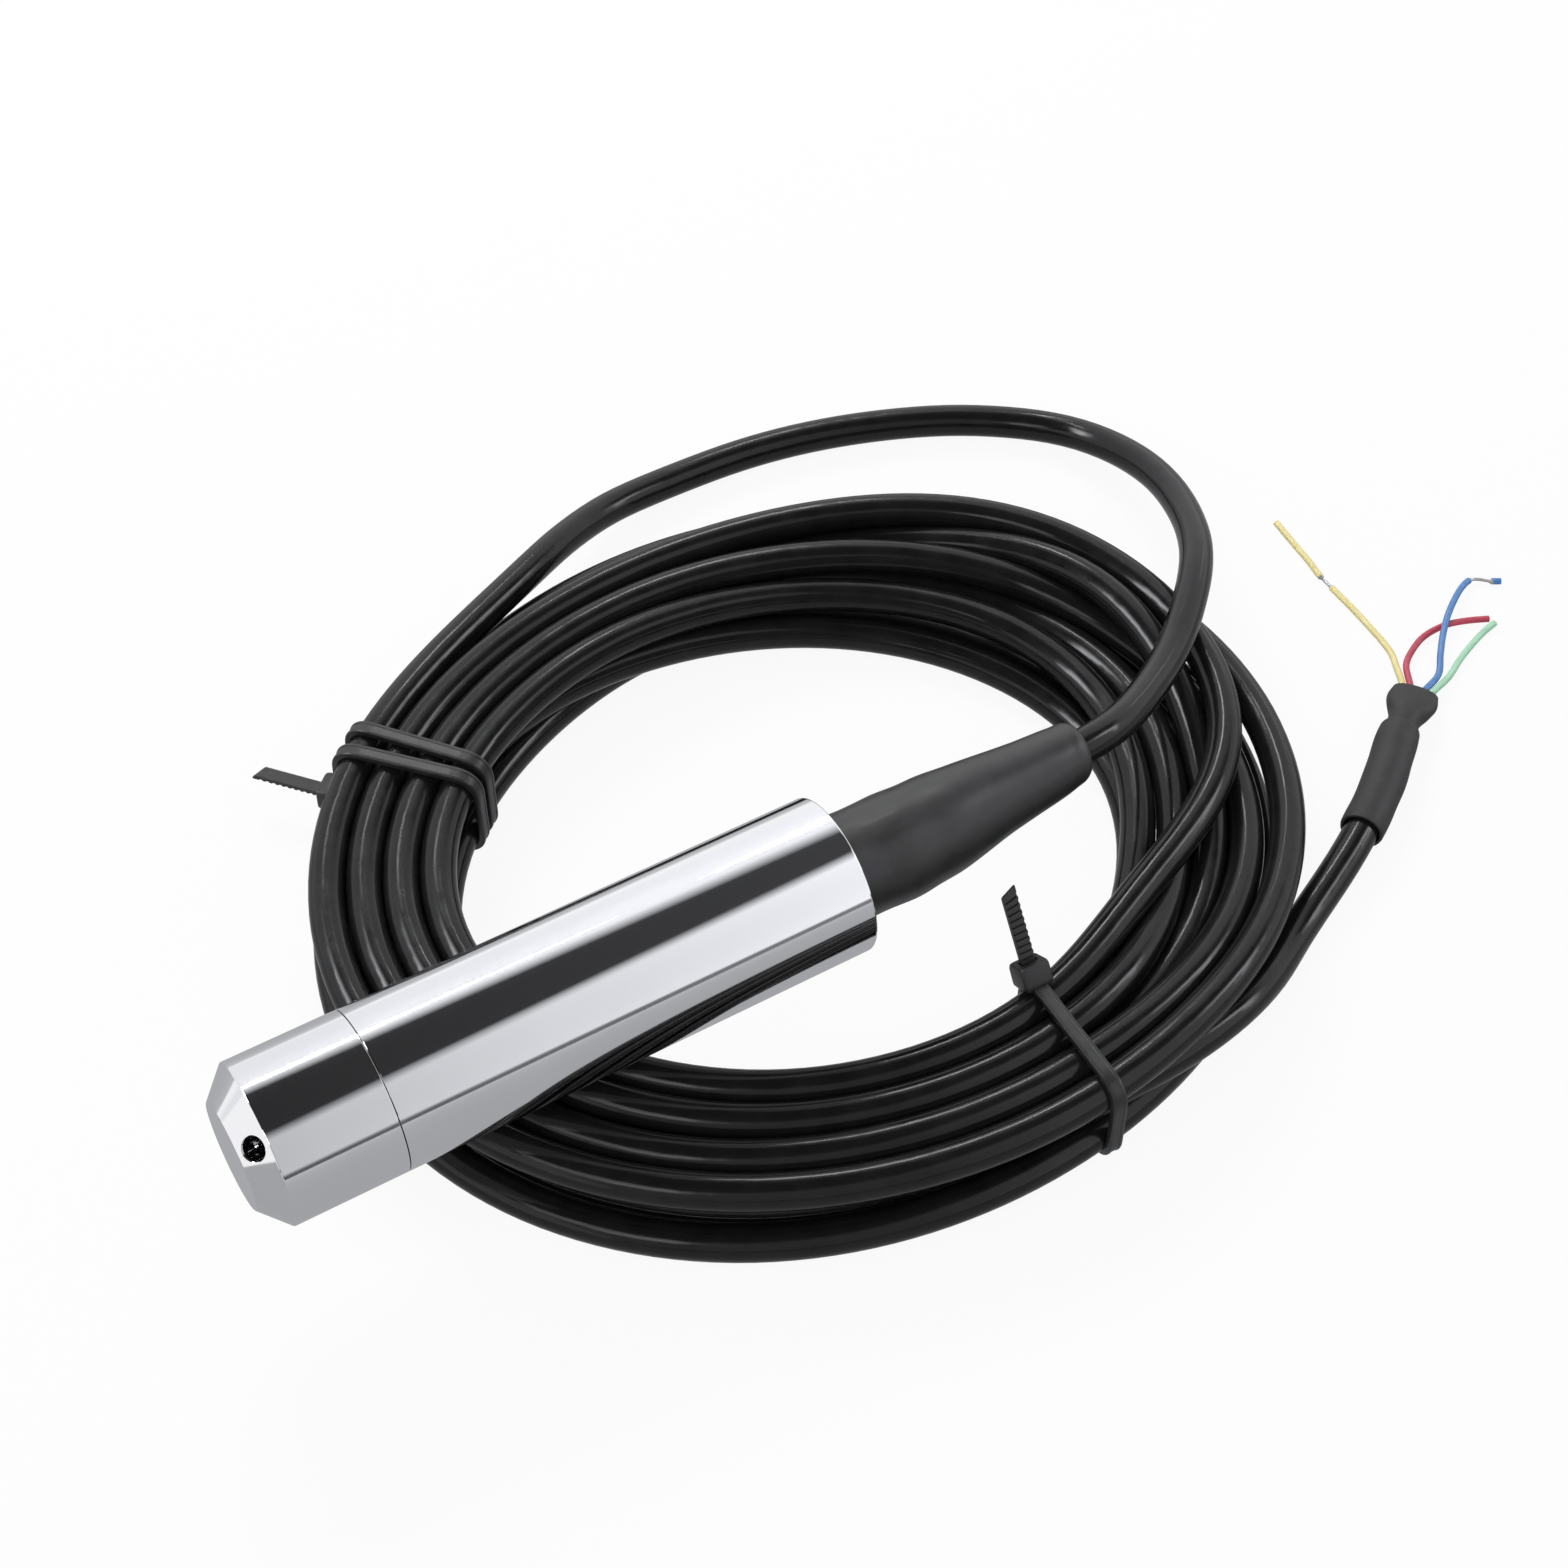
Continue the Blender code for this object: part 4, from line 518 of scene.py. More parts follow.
# Where the wire is bare: (axis of the part, from, to)
BARE_STRETCHES = {"yellow": ("Y", 33.4, 36.9), "blue": ("X", 270.4, 274.1)}
BARE_RADIUS = 0.32


def breakout_axes():
    turn = math.radians(BREAKOUT_HEADING)
    heading = Vector((math.cos(turn), math.sin(turn), 0))
    return heading, Vector((-heading.y, heading.x, 0))


def conductor_route(row_place, stack_place, route):
    """One conductor: bundled in the sleeve, side by side at the rim, then on the surface."""
    heading, across = breakout_axes()
    bundle = math.copysign(BUNDLED_PLACE, row_place)
    inside = []
    for behind, height, spread, stacked in CONDUCTOR_STAGES:
        sideways = bundle + (row_place - bundle) * spread
        point = Vector(BREAKOUT_RIM) - heading * behind + across * sideways
        inside.append((point.x, point.y, height + stack_place * stacked))
    return even(through(inside + list(route), 1.0), 0.6)


def build_conductors():
    """Each conductor is a free cord, with its insulation up to its end."""
    made = []
    for colour, row_place, stack_place, route in CONDUCTORS:
        path = conductor_route(row_place, stack_place, route)
        radius = np.full(len(path), CONDUCTOR_RADIUS)
        if colour in BARE_STRETCHES:
            axis, low, high = BARE_STRETCHES[colour]
            along = path[:, "XYZ".index(axis)]
            radius[(along > low) & (along < high)] = BARE_RADIUS
        wire = add_curve("conductor_" + colour + "_wire", path, radius, 5)
        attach(wire, "probe")
        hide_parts("conductor_" + colour)
        made.append((wire, path))
    return made


conductors = build_conductors()


# ---- probe

def analytic_normals(thing, tolerance=0.02):
    """Shade faces that are turned round X as true turned surfaces, also where holes cut them."""
    mesh = thing.data
    normals = [(0.0, 0.0, 0.0)] * len(mesh.loops)
    for polygon in mesh.polygons:
        radial = Vector((0, *polygon.center.yz))
        if radial.length < 1e-6:
            continue
        radial.normalize()
        around = Vector((1, 0, 0)).cross(radial)
        if abs(polygon.normal.dot(around)) > tolerance:
            continue
        along, out = polygon.normal.x, polygon.normal.dot(radial)
        for index in polygon.loop_indices:
            spoke = Vector((0, *mesh.vertices[mesh.loops[index].vertex_index].co.yz))
            if spoke.length > 1e-6:
                spoke.normalize()
                normals[index] = (along, out * spoke.y, out * spoke.z)
    mesh.normals_split_custom_set(normals)


def cut(thing, tool):
    """Take one closed mesh out of another."""
    boolean = thing.modifiers.new("cut", "BOOLEAN")
    boolean.operation = "DIFFERENCE"
    boolean.solver = "EXACT"
    boolean.object = tool
    bpy.context.view_layer.update()
    result = bpy.data.meshes.new_from_object(
        thing.evaluated_get(bpy.context.evaluated_depsgraph_get()))
    thing.modifiers.clear()
    thing.data = result
    bpy.data.objects.remove(tool)


def inlet_cutter(index):
    """One inlet, square to the conical chamfer, with a fine countersink at its mouth."""
    rise = BODY_RADIUS - NOSE_FACE_RADIUS
    slope = math.hypot(rise, NOSE_CHAMFER_LENGTH)
    turn = math.radians(INLET_FIRST_ANGLE + 360 * index / INLET_COUNT)
    side, up = -math.sin(turn), math.cos(turn)
    inward = Vector((rise / slope, -NOSE_CHAMFER_LENGTH / slope * side,
                     -NOSE_CHAMFER_LENGTH / slope * up))
    radius = (NOSE_FACE_RADIUS + BODY_RADIUS) / 2
    mouth = Vector((NOSE_CHAMFER_LENGTH / 2, radius * side, radius * up))
    across = inward.cross(Vector((0, -up, side))).normalized()
    other = inward.cross(across)
    above = 1.0
    stages = ((-above, INLET_RADIUS + (above + INLET_COUNTERSINK)),
              (INLET_COUNTERSINK, INLET_RADIUS), (INLET_DEPTH, INLET_RADIUS))
    return join_meshes("inlet_cutter", loft(
        [[mouth + inward * depth + across * r * math.cos(turn) + other * r * math.sin(turn)
          for turn in spokes(INLET_SEGMENTS)] for depth, r in stages]))


def build_nose_cap():
    mouth = SEAM - SEAM_GAP / 2
    profile = [(0, 0), (0, NOSE_FACE_RADIUS), (NOSE_CHAMFER_LENGTH, BODY_RADIUS),
               (mouth, BODY_RADIUS), (mouth, CAP_BORE_RADIUS + MOUTH_CHAMFER),
               (mouth - MOUTH_CHAMFER, CAP_BORE_RADIUS), (CHAMBER_END, CAP_BORE_RADIUS),
               (CHAMBER_END, CHAMBER_RADIUS), (CAP_FLOOR, CHAMBER_RADIUS), (CAP_FLOOR, 0)]
    radii = [0, 0.25, 0.35, 0.1, 0, 0, 0.2, 0.15, 0.8, 0]
    cap = lathe("nose_cap_fine", profile, radii)
    for index in range(INLET_COUNT):
        cut(cap, inlet_cutter(index))
    split_edges(cap, 35)
    analytic_normals(cap)
    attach(cap, "cap")
    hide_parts("nose_cap")
    return cap


def cut_thread(thing):
    """A right-hand thread in the spigot's wall, running out at both ends."""
    start, end = THREAD_SPAN
    for vertex in thing.data.vertices:
        x, y, z = vertex.co / MM
        radius = math.hypot(y, z)
        if start < x < end and abs(radius - SPIGOT_RADIUS) < 0.01:
            phase = ((x - start) / THREAD_PITCH - math.atan2(z, y) / (2 * math.pi)) % 1
            groove = (1 + 2 * THREAD_FLAT) * (1 - abs(2 * phase - 1)) - THREAD_FLAT
            fade = min(1.0, (x - start) / THREAD_PITCH, (end - x) / THREAD_PITCH)
            share = 1 - THREAD_DEPTH * min(1.0, max(0.0, groove)) * fade / radius
            vertex.co = Vector((x, y * share, z * share)) * MM


def build_housing():
    shoulder = SEAM + SEAM_GAP / 2
    relief = SPIGOT_RADIUS - SPIGOT_RELIEF
    spigot = [(float(x), SPIGOT_RADIUS) for x in np.arange(*THREAD_SPAN, THREAD_STEP)]
    profile = [(SPIGOT_FRONT, LIP_BORE_RADIUS), (SPIGOT_FRONT, SPIGOT_RADIUS - MOUTH_CHAMFER),
               (SPIGOT_FRONT + MOUTH_CHAMFER, SPIGOT_RADIUS), *spigot,
               (shoulder - 1.4, SPIGOT_RADIUS),
               (shoulder - 0.9, relief), (shoulder, relief), (shoulder, BODY_RADIUS),
               (RIM, BODY_RADIUS), (RIM, PLUG_BORE_RADIUS), (PLUG_SEAT, PLUG_BORE_RADIUS),
               (PLUG_SEAT, TUBE_BORE_RADIUS), (CELL_BORE_END, TUBE_BORE_RADIUS),
               (CELL_BORE_END, CELL_BORE_RADIUS), (LIP_BACK, CELL_BORE_RADIUS),
               (LIP_BACK, LIP_BORE_RADIUS)]
    radii = [0] * (len(spigot) + 5) + [0.1, 0.1, RIM_CHAMFER, 0.2] + [0] * 6
    tube = lathe("housing_fine", profile, radii)
    cut_thread(tube)
    split_edges(tube, 35)
    analytic_normals(tube)
    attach(tube, "probe")
    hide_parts("housing_tube")
    return tube


def boot_lumps(at, turn):
    """How far the shrunk boot swells at a distance from its front and an angle round it."""
    return (0.10 * math.sin(at / 4.6 + 1.3) * math.cos(turn - 0.6)
            + 0.09 * math.exp(-((at - 12.5) / 3.2)**2) * (1 + 0.6 * math.cos(2 * turn + 0.8))
            + 0.05 * math.cos(6 * turn) * math.exp(-((at - 7.5) / 4.0)**2)
            + 0.05 * math.sin(at / 2.7 + 3 * turn) * math.exp(-((at - 24) / 9.0)**2))


def build_boot():
    """Shrunk over the gland's nut: soft lumps where it grips, a rounded lip at its tip."""
    length = BOOT_TIP - BOOT_FRONT
    turns = spokes(BOOT_SEGMENTS)
    places = [length * i / BOOT_STEPS for i in range(BOOT_STEPS + 1)]
    radii = smooth_path(np.array(BOOT_PROFILE), np.minimum(places, length))[:, 0]
    rings = []
    for at, radius in zip(places, map(float, radii)):
        ease = min(1.0, at / 2.0) * min(1.0, (length - at) / 4.0)
        past = (at - length + BOOT_LIP) / BOOT_LIP
        if past > 0:
            radius -= BOOT_LIP * (1 - math.sqrt(max(0.0, 1 - past**2)))
        rings.append((BOOT_FRONT + at, [radius + boot_lumps(at, turn) * ease for turn in turns]))
    nut_end, nut_room = NUT_BACK + NUT_CLEARANCE, NUT_HEAD_RADIUS + NUT_CLEARANCE
    bore = [(BOOT_TIP - 0.1, BOOT_BORE_RADIUS + 0.5), (BOOT_TIP - 1.4, BOOT_BORE_RADIUS + 0.2),
            *((x, BOOT_BORE_RADIUS) for x in np.linspace(BOOT_TIP - 3, nut_end, 24)),
            (nut_end, nut_room), (BOOT_FRONT, nut_room)]
    rings += [(x, [radius] * BOOT_SEGMENTS) for x, radius in bore]
    shaped = [[(x, r * math.cos(turn) + boot_lean(x), r * math.sin(turn))
               for r, turn in zip(row, turns)] for x, row in rings]
    boot = soft_tube("boot_fine", shaped)
    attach(boot, "probe")
    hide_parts("strain_boot")
    return boot


nose_cap = build_nose_cap()
housing = build_housing()
boot = build_boot()


# ---- cable ties

BAND_WIDTH = 2.8
BAND_THICKNESS = 1.3
BAND_CLEARANCE = 0.08
LEFT_TIE_SPREAD = 2.0
RIGHT_TIE_SKEW = -10.0
HEAD_WIDTH = 5.6
HEAD_LENGTH = 5.0
HEAD_HEIGHT = 4.7
TAIL_WIDTH = 2.7
TAIL_THICKNESS = 1.1
SLOT_ROOM = 0.15
TOOTH_PITCH = 1.2
TOOTH_DEPTH = 0.35
TIE_MIDDLE = -23.2
SAME_FACING = 0.9995
BAND_POINTS = 180

# One side of the band's section, from its inner face out: (depth, how far in from the edge)
BAND_SIDE = ((0.0, 0.2), (0.2, 0.0), (BAND_THICKNESS - 0.3, 0.0), (BAND_THICKNESS - 0.1, 0.1),
             (BAND_THICKNESS, 0.3), (BAND_THICKNESS, 0.62), (BAND_THICKNESS - 0.12, 0.75))


def tie_frame(angle, skew):
    """Origin, then the axes outward, along the cable and up, of a tie's plane."""
    point, normal = ring_point(np.array(angle))
    heading = math.atan2(normal[1], normal[0]) + math.radians(skew)
    outward, side = math.cos(heading), math.sin(heading)
    return np.array([(*point, TIE_MIDDLE), (outward, side, 0), (-side, outward, 0), (0, 0, 1)])


def put(places, points):
    """Points given in a frame of an origin and three axes."""
    return np.array(points) @ places[1:] + places[0]


def strands_in_plane(places):
    """Where the cable's turns pass the tie's plane, as (across, up), near the bundle."""
    offset = (CABLE - places[0]) @ places[1:].T
    ahead = offset[:, 1]
    found = []
    for i in np.where(np.sign(ahead[:-1]) != np.sign(ahead[1:]))[0]:
        share = ahead[i] / (ahead[i] - ahead[i + 1])
        across, _, up = offset[i] + (offset[i + 1] - offset[i]) * share
        if abs(across) < 25 and abs(up) < 15:
            found.append((across, up))
    return found


def hull(points):
    """Convex hull of points in the plane, anticlockwise."""
    points = sorted(set(map(tuple, points)))

    def half(row):
        chain = []
        for x, y in row:
            while len(chain) > 1:
                (x0, y0), (x1, y1) = chain[-2:]
                if (x1 - x0) * (y - y0) - (y1 - y0) * (x - x0) > 0:
                    break
                chain.pop()
            chain.append((x, y))
        return chain[:-1]

    return np.array(half(points) + half(points[::-1]))


def tie_loop(places):
    """The band's inner line, drawn tight round the turns, and its outward normals."""
    turns = np.linspace(0, 2 * math.pi, 72, endpoint=False)
    rim = np.stack([np.cos(turns), np.sin(turns)], -1) * (CABLE_RADIUS + BAND_CLEARANCE)
    loop = hull([place + edge for place in np.array(strands_in_plane(places)) for edge in rim])
    loop = resample(np.vstack([loop, loop[:1]]), BAND_POINTS + 1)[:-1]
    for _ in range(6):
        loop = (loop + (np.roll(loop, 1, 0) + np.roll(loop, -1, 0)) / 2) / 2
    ahead = np.roll(loop, -1, 0) - np.roll(loop, 1, 0)
    normal = np.stack([ahead[:, 1], -ahead[:, 0]], -1)
    return loop, normal / np.linalg.norm(normal, axis=1, keepdims=True)


def band_parts(places, loop, normal):
    """Vertices and faces of the band: eased edges and a shallow channel along its outside."""
    half = BAND_WIDTH / 2
    section = [(depth, inset - half) for depth, inset in BAND_SIDE]
    section += [(depth, half - inset) for depth, inset in reversed(BAND_SIDE)]
    points = [(across + nx * depth, along, up + nz * depth)
              for (across, up), (nx, nz) in zip(loop, normal) for depth, along in section]
    return put(places, points), grid_faces(len(loop), len(section), loop=True)


def head_axes(places, loop, normal, head_angle):
    """Origin of the head, then its axes: out of the loop, along the cable, round the loop."""
    turn = math.radians(head_angle)
    facing = normal @ np.array([math.cos(turn), math.sin(turn)])
    near = np.flatnonzero(facing > SAME_FACING)
    index = near[len(near) // 2] if len(near) else facing.argmax()
    (across, up), (nx, nz) = loop[index], normal[index]
    out, side = nx * places[1] + nz * places[3], places[2]
    return np.array([put(places, (across, 0, up)), out, side, np.cross(out, side)])


def box_rings(axes, stages):
    """A lofted box: each stage is (height out, half width along the cable, half length, ease)."""
    rings = []
    for height, half_width, half_length, ease in stages:
        ring = []
        for corner, (sx, sy) in enumerate(((1, 1), (-1, 1), (-1, -1), (1, -1))):
            for k in range(5):
                turn = math.radians(90 * corner + 22.5 * k)
                ring.append((height, sx * (half_width - ease) + ease * math.cos(turn),
                             sy * (half_length - ease) + ease * math.sin(turn)))
        rings.append(put(axes, ring))
    return rings


def tail_rings(axes, length, ridge_side, start=1.0):
    """The toothed strip as a profile along its length, swept across its width."""
    half = TAIL_THICKNESS / 2
    outline = [(start, -half), (length - 0.5, -half), (length - 0.1, -half + 0.35), (length, half)]
    x = length - 1.0
    while x > HEAD_HEIGHT + 0.6:
        outline += [(x, half), (x - 0.16, half - TOOTH_DEPTH),
                    (x - TOOTH_PITCH * 0.5, half - TOOTH_DEPTH), (x - TOOTH_PITCH * 0.6, half)]
        x -= TOOTH_PITCH
    outline.append((start, half))
    rings = []
    width = TAIL_WIDTH / 2
    for y, inset in ((-width, 0.12), (-width + 0.12, 0.0), (width - 0.12, 0.0), (width, 0.12)):
        ring = []
        for px, pz in outline:
            share = max(0.0, px / length)
            slant = 1.3 * (y / width / 2) * share**6
            bow = 0.35 * share**2
            ring.append((px + slant, y, pz * ridge_side * (1 - inset / half) + bow))
        rings.append(put(axes, ring))
    return rings


def build_tie(name, angle, skew, head_angle, tail_length, ridge_side):
    places = tie_frame(angle, skew)
    loop, normal = tie_loop(places)
    axes = head_axes(places, loop, normal, head_angle)
    half_w, half_l = HEAD_WIDTH / 2, HEAD_LENGTH / 2
    head = join_meshes(name + "_head", loft(box_rings(axes, (
        (0.1, half_w - 0.5, half_l - 0.2, 0.4), (0.7, half_w - 0.1, half_l, 0.5),
        (1.2, half_w, half_l, 0.55), (HEAD_HEIGHT - 0.8, half_w, half_l - 0.05, 0.6),
        (HEAD_HEIGHT - 0.2, half_w - 0.15, half_l - 0.2, 0.6),
        (HEAD_HEIGHT, half_w - 0.4, half_l - 0.45, 0.5)))))
    slot_w, slot_l = TAIL_WIDTH / 2 + SLOT_ROOM, TAIL_THICKNESS / 2 + 1.5 * SLOT_ROOM
    cut(head, join_meshes("slot_cutter", loft(box_rings(axes, (
        (0.9, slot_w, slot_l, 0.1), (HEAD_HEIGHT - 0.4, slot_w, slot_l, 0.1),
        (HEAD_HEIGHT + 0.5, slot_w + 0.4, slot_l + 0.4, 0.1))))))
    band = join_meshes(name + "_fine", band_parts(places, loop, normal),
                       loft(tail_rings(axes, tail_length + BAND_THICKNESS, ridge_side)))
    with editing(band.data) as made:
        made.from_mesh(head.data)
    bpy.data.objects.remove(head)
    band.data.polygons.foreach_set("use_smooth", [True] * len(band.data.polygons))
    split_edges(band, 28)
    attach(band, "probe")
    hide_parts(name)
    return band


ties = [build_tie("tie_left_front", LEFT_TIE_ANGLE + LEFT_TIE_SPREAD, 0.0, 0.0, 16.0, -1),
        build_tie("tie_left_rear", LEFT_TIE_ANGLE - LEFT_TIE_SPREAD, 0.0, -14.0, 4.6, 1),
        build_tie("tie_right", RIGHT_TIE_ANGLE, RIGHT_TIE_SKEW, 124.0, 16.5, -1)]


# ---- sleeves

SLEEVE_ROUTE = ((209.8, -20.9, -29.55), (215.7, -17.2, -29.55), (221.9, -12.8, -29.55),
                (228.2, -7.7, -29.55), (231.4, -5.3, -29.6))
SLEEVE_BORE_RADIUS = 3.55
SLEEVE_THICKNESS = 0.55
SLEEVE_STEP = 0.45
SLEEVE_SEGMENTS = 72
BREAKOUT_WALL = 0.6
BREAKOUT_SECTIONS = ((13.0, -29.6, 3.1, 2.9), (9.0, -29.8, 3.2, 2.95), (6.5, -30.2, 4.2, 2.9),
                     (3.5, -30.7, 4.85, 2.5), (0.0, -31.2, 4.35, 1.7))


def sleeve_ring(centre, heading, half_width, half_height, ripple=0.0, phase=0.0):
    across, up = np.array([-heading[1], heading[0], 0.0]), np.array([0.0, 0.0, 1.0])
    ring = []
    for turn in spokes(SLEEVE_SEGMENTS):
        swell = 1 + ripple * math.sin(3 * turn + phase) + 0.5 * ripple * math.sin(5 * turn - phase)
        ring.append(centre + across * half_width * swell * math.cos(turn)
                    + up * half_height * swell * math.sin(turn))
    return ring


def build_sleeve():
    """The shrunk tube over the jacket's end, puckered where it draws in at its shoulder."""
    path = even(through(SLEEVE_ROUTE, 0.5), SLEEVE_STEP)
    outside, inside = [], []
    last = len(path) - 1
    for i, point in enumerate(path):
        ahead = path[min(i + 1, last)] - path[max(i - 1, 0)]
        heading = np.array([ahead[0], ahead[1], 0.0]) / np.hypot(ahead[0], ahead[1])
        lip = 0.12 * max(0, 1 - min(i, last - i))
        shoulder = math.exp(-((last - i) * SLEEVE_STEP / 3.0)**2)
        radius = (SLEEVE_BORE_RADIUS + SLEEVE_THICKNESS - lip - 0.3 * shoulder
                  + 0.05 * math.sin(i * SLEEVE_STEP / 1.7))
        outside.append(sleeve_ring(point, heading, radius, radius,
                                   0.004 + 0.014 * shoulder, 0.35 * i))
        inside.append(sleeve_ring(point, heading, SLEEVE_BORE_RADIUS, SLEEVE_BORE_RADIUS))
    sleeve = soft_tube("sleeve_fine", outside + inside[::-1])
    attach(sleeve, "probe")
    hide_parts("tail_sleeve")
    return sleeve


def build_breakout():
    """The flattened, flared end that the four conductors leave through."""
    heading = np.array(breakout_axes()[0])
    table = np.array([(-behind, *section) for behind, *section in BREAKOUT_SECTIONS])
    stops = np.linspace(table[0, 0], 0.0, 40)
    outside, inside = [], []
    for stop, (height, width, tall) in zip(stops, smooth_path(table, stops)):
        centre = np.array([*BREAKOUT_RIM[:2], height]) + heading * stop
        ripple = 0.012 * math.exp(-((stop + 6.0) / 3.0)**2)
        lip = 0.1 if stop > -0.2 else 0.0
        outside.append(sleeve_ring(centre, heading, width - lip, tall - lip, ripple, stop))
        inside.append(sleeve_ring(centre, heading, width - BREAKOUT_WALL, tall - BREAKOUT_WALL))
    breakout = soft_tube("breakout_fine", outside + inside[::-1])
    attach(breakout, "probe")
    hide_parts("breakout_sleeve")
    return breakout


sleeve = build_sleeve()
breakout = build_breakout()


# ---- materials

NOISE_ROUGHNESS = 0.55
FINE_GRAIN = 0.00001


def new_material(name):
    made = bpy.data.materials.new(name)
    made.use_nodes = True
    return made, made.node_tree.nodes["Principled BSDF"], made.node_tree


def feed(tree, node, inputs):
    """Give each input its value, or link it to the output that feeds it."""
    for name, value in inputs.items():
        if isinstance(value, bpy.types.NodeSocket):
            tree.links.new(value, node.inputs[name])
        else:
            node.inputs[name].default_value = value


def add_node(tree, kind, inputs, **settings):
    node = tree.nodes.new("ShaderNode" + kind)
    for name, value in settings.items():
        setattr(node, name, value)
    feed(tree, node, inputs)
    return node


def texture_place(tree, stretch=(1.0, 1.0, 1.0)):
    """Object coordinates, stretched."""
    place = add_node(tree, "TexCoord", {}).outputs["Object"]
    return add_node(tree, "Mapping", {"Vector": place, "Scale": stretch}).outputs["Vector"]


def noise(tree, vector, scale, detail=4.0):
    return add_node(tree, "TexNoise", {"Vector": vector, "Scale": scale, "Detail": detail,
                                       "Roughness": NOISE_ROUGHNESS}).outputs["Fac"]


def spread(tree, factor, low, high, start=0.3, end=0.7):
    """A number between low and high, from a factor."""
    return add_node(tree, "MapRange", {"Value": factor, "From Min": start, "From Max": end,
                                       "To Min": low, "To Max": high}).outputs["Result"]


def colours(tree, factor, one, two, start=0.3, end=0.7):
    """A colour between two, from a factor."""
    ramp = add_node(tree, "ValToRGB", {"Fac": factor})
    for element, place, colour in zip(ramp.color_ramp.elements, (start, end), (one, two)):
        element.position = place
        element.color = (*colour, 1)
    return ramp.outputs["Color"]


def bump(tree, shader, height, strength, distance, onto=None):
    """Relief from a height, on top of any relief given before; distance in metres."""
    inputs = {"Strength": strength, "Distance": distance, "Height": height}
    if onto is not None:
        inputs["Normal"] = onto
    relief = add_node(tree, "Bump", inputs).outputs["Normal"]
    tree.links.new(relief, shader.inputs["Normal"])
    return relief


def turned_steel(name, colour, rough_low, rough_high):
    """Turned and polished stainless: faint rings round the axis and a soft cloudiness."""
    made, shader, tree = new_material(name)
    rings = noise(tree, texture_place(tree, (1.0, 0.02, 0.02)), 5200.0, 3.0)
    cloud = noise(tree, texture_place(tree), 60.0, 3.0)
    feed(tree, shader, {
        "Base Color": colours(tree, cloud, tuple(c * 0.97 for c in colour), colour),
        "Roughness": spread(tree, rings, rough_low, rough_high), "Metallic": 1.0})
    bump(tree, shader, rings, 0.02, 0.00002)
    return made


def moulded(name, colour, lighter, rough_low, rough_high, grain,
            depth=FINE_GRAIN, specular=0.5, wave=None):
    """Plastic or rubber: slightly uneven colour and gloss, fine grain, and a slow waviness."""
    made, shader, tree = new_material(name)
    place = texture_place(tree)
    fine = noise(tree, place, grain, 3.0)
    slow = noise(tree, place, grain / 14.0, 3.0)
    feed(tree, shader, {"Base Color": colours(tree, slow, colour, lighter),
                        "Roughness": spread(tree, slow, rough_low, rough_high),
                        "Specular IOR Level": specular})
    under = None
    if wave:
        under = bump(tree, shader, noise(tree, place, wave[0], 2.0), 1.0, wave[1])
    bump(tree, shader, fine, 1.0, depth, under)
    return made


def insulation(colour, shade, lighter):
    """A conductor's insulation, with tinned wire in view where it is stripped."""
    made = moulded("insulation_" + colour, shade, lighter, 0.3, 0.42, 3000.0)
    if colour not in BARE_STRETCHES:
        return made
    axis, low, high = BARE_STRETCHES[colour]
    tree = made.node_tree
    shader = tree.nodes["Principled BSDF"]
    place = add_node(tree, "TexCoord", {}).outputs["Object"]
    split = add_node(tree, "SeparateXYZ", {"Vector": place})
    bare = add_node(tree, "Math", {0: split.outputs[axis], 1: (low + high) / 2 * MM,
                                   2: (high - low) / 2 * MM}, operation="COMPARE").outputs[0]
    strands = noise(tree, texture_place(tree), 4000.0)
    tinned = colours(tree, strands, (0.45, 0.44, 0.45), (0.66, 0.65, 0.66))
    plastic = shader.inputs["Base Color"].links[0].from_socket
    mix = add_node(tree, "Mix", {0: bare, 6: plastic, 7: tinned}, data_type="RGBA")
    feed(tree, shader, {"Base Color": mix.outputs[2], "Metallic": bare})
    return made


# Name: colour, roughness from and to
STEELS = {
    "polished_steel": ((0.89, 0.89, 0.905), 0.045, 0.09),
    "bright_steel": ((0.70, 0.70, 0.72), 0.16, 0.28),
}

# Name: colour, lighter colour, roughness from and to, grain and its depth, specular, waves
MOULDED = {
    "black_rubber": ((0.018, 0.018, 0.018), (0.028, 0.028, 0.028), 0.5, 0.62, 5000.0),
    "boot_polymer": ((0.020, 0.020, 0.021), (0.028, 0.028, 0.029), 0.34, 0.44, 4200.0, FINE_GRAIN,
                     0.5, (150.0, 0.00012)),
    "cable_jacket": ((0.008, 0.008, 0.0083), (0.012, 0.012, 0.0124), 0.13, 0.19, 2600.0,
                     0.000004, 0.32, (110.0, 0.00014)),
    "sleeve_polymer": ((0.022, 0.022, 0.023), (0.032, 0.032, 0.033), 0.5, 0.62, 4000.0, 0.00002,
                       0.35, (420.0, 0.00012)),
    "tie_nylon": ((0.012, 0.012, 0.0125), (0.020, 0.020, 0.021), 0.30, 0.42, 5200.0, 0.000008),
    "board_laminate": ((0.02, 0.10, 0.045), (0.03, 0.14, 0.06), 0.3, 0.45, 2500.0),
    "component_body": ((0.02, 0.02, 0.022), (0.035, 0.035, 0.037), 0.45, 0.6, 5000.0),
    "trimmer_body": ((0.03, 0.10, 0.32), (0.04, 0.13, 0.38), 0.35, 0.5, 4000.0),
    "terminal_body": ((0.05, 0.22, 0.09), (0.07, 0.27, 0.12), 0.35, 0.5, 4000.0),
    "cradle_polymer": ((0.55, 0.53, 0.48), (0.62, 0.60, 0.55), 0.4, 0.55, 3500.0),
    "vent_polymer": ((0.62, 0.62, 0.60), (0.70, 0.70, 0.68), 0.3, 0.42, 3500.0),
}
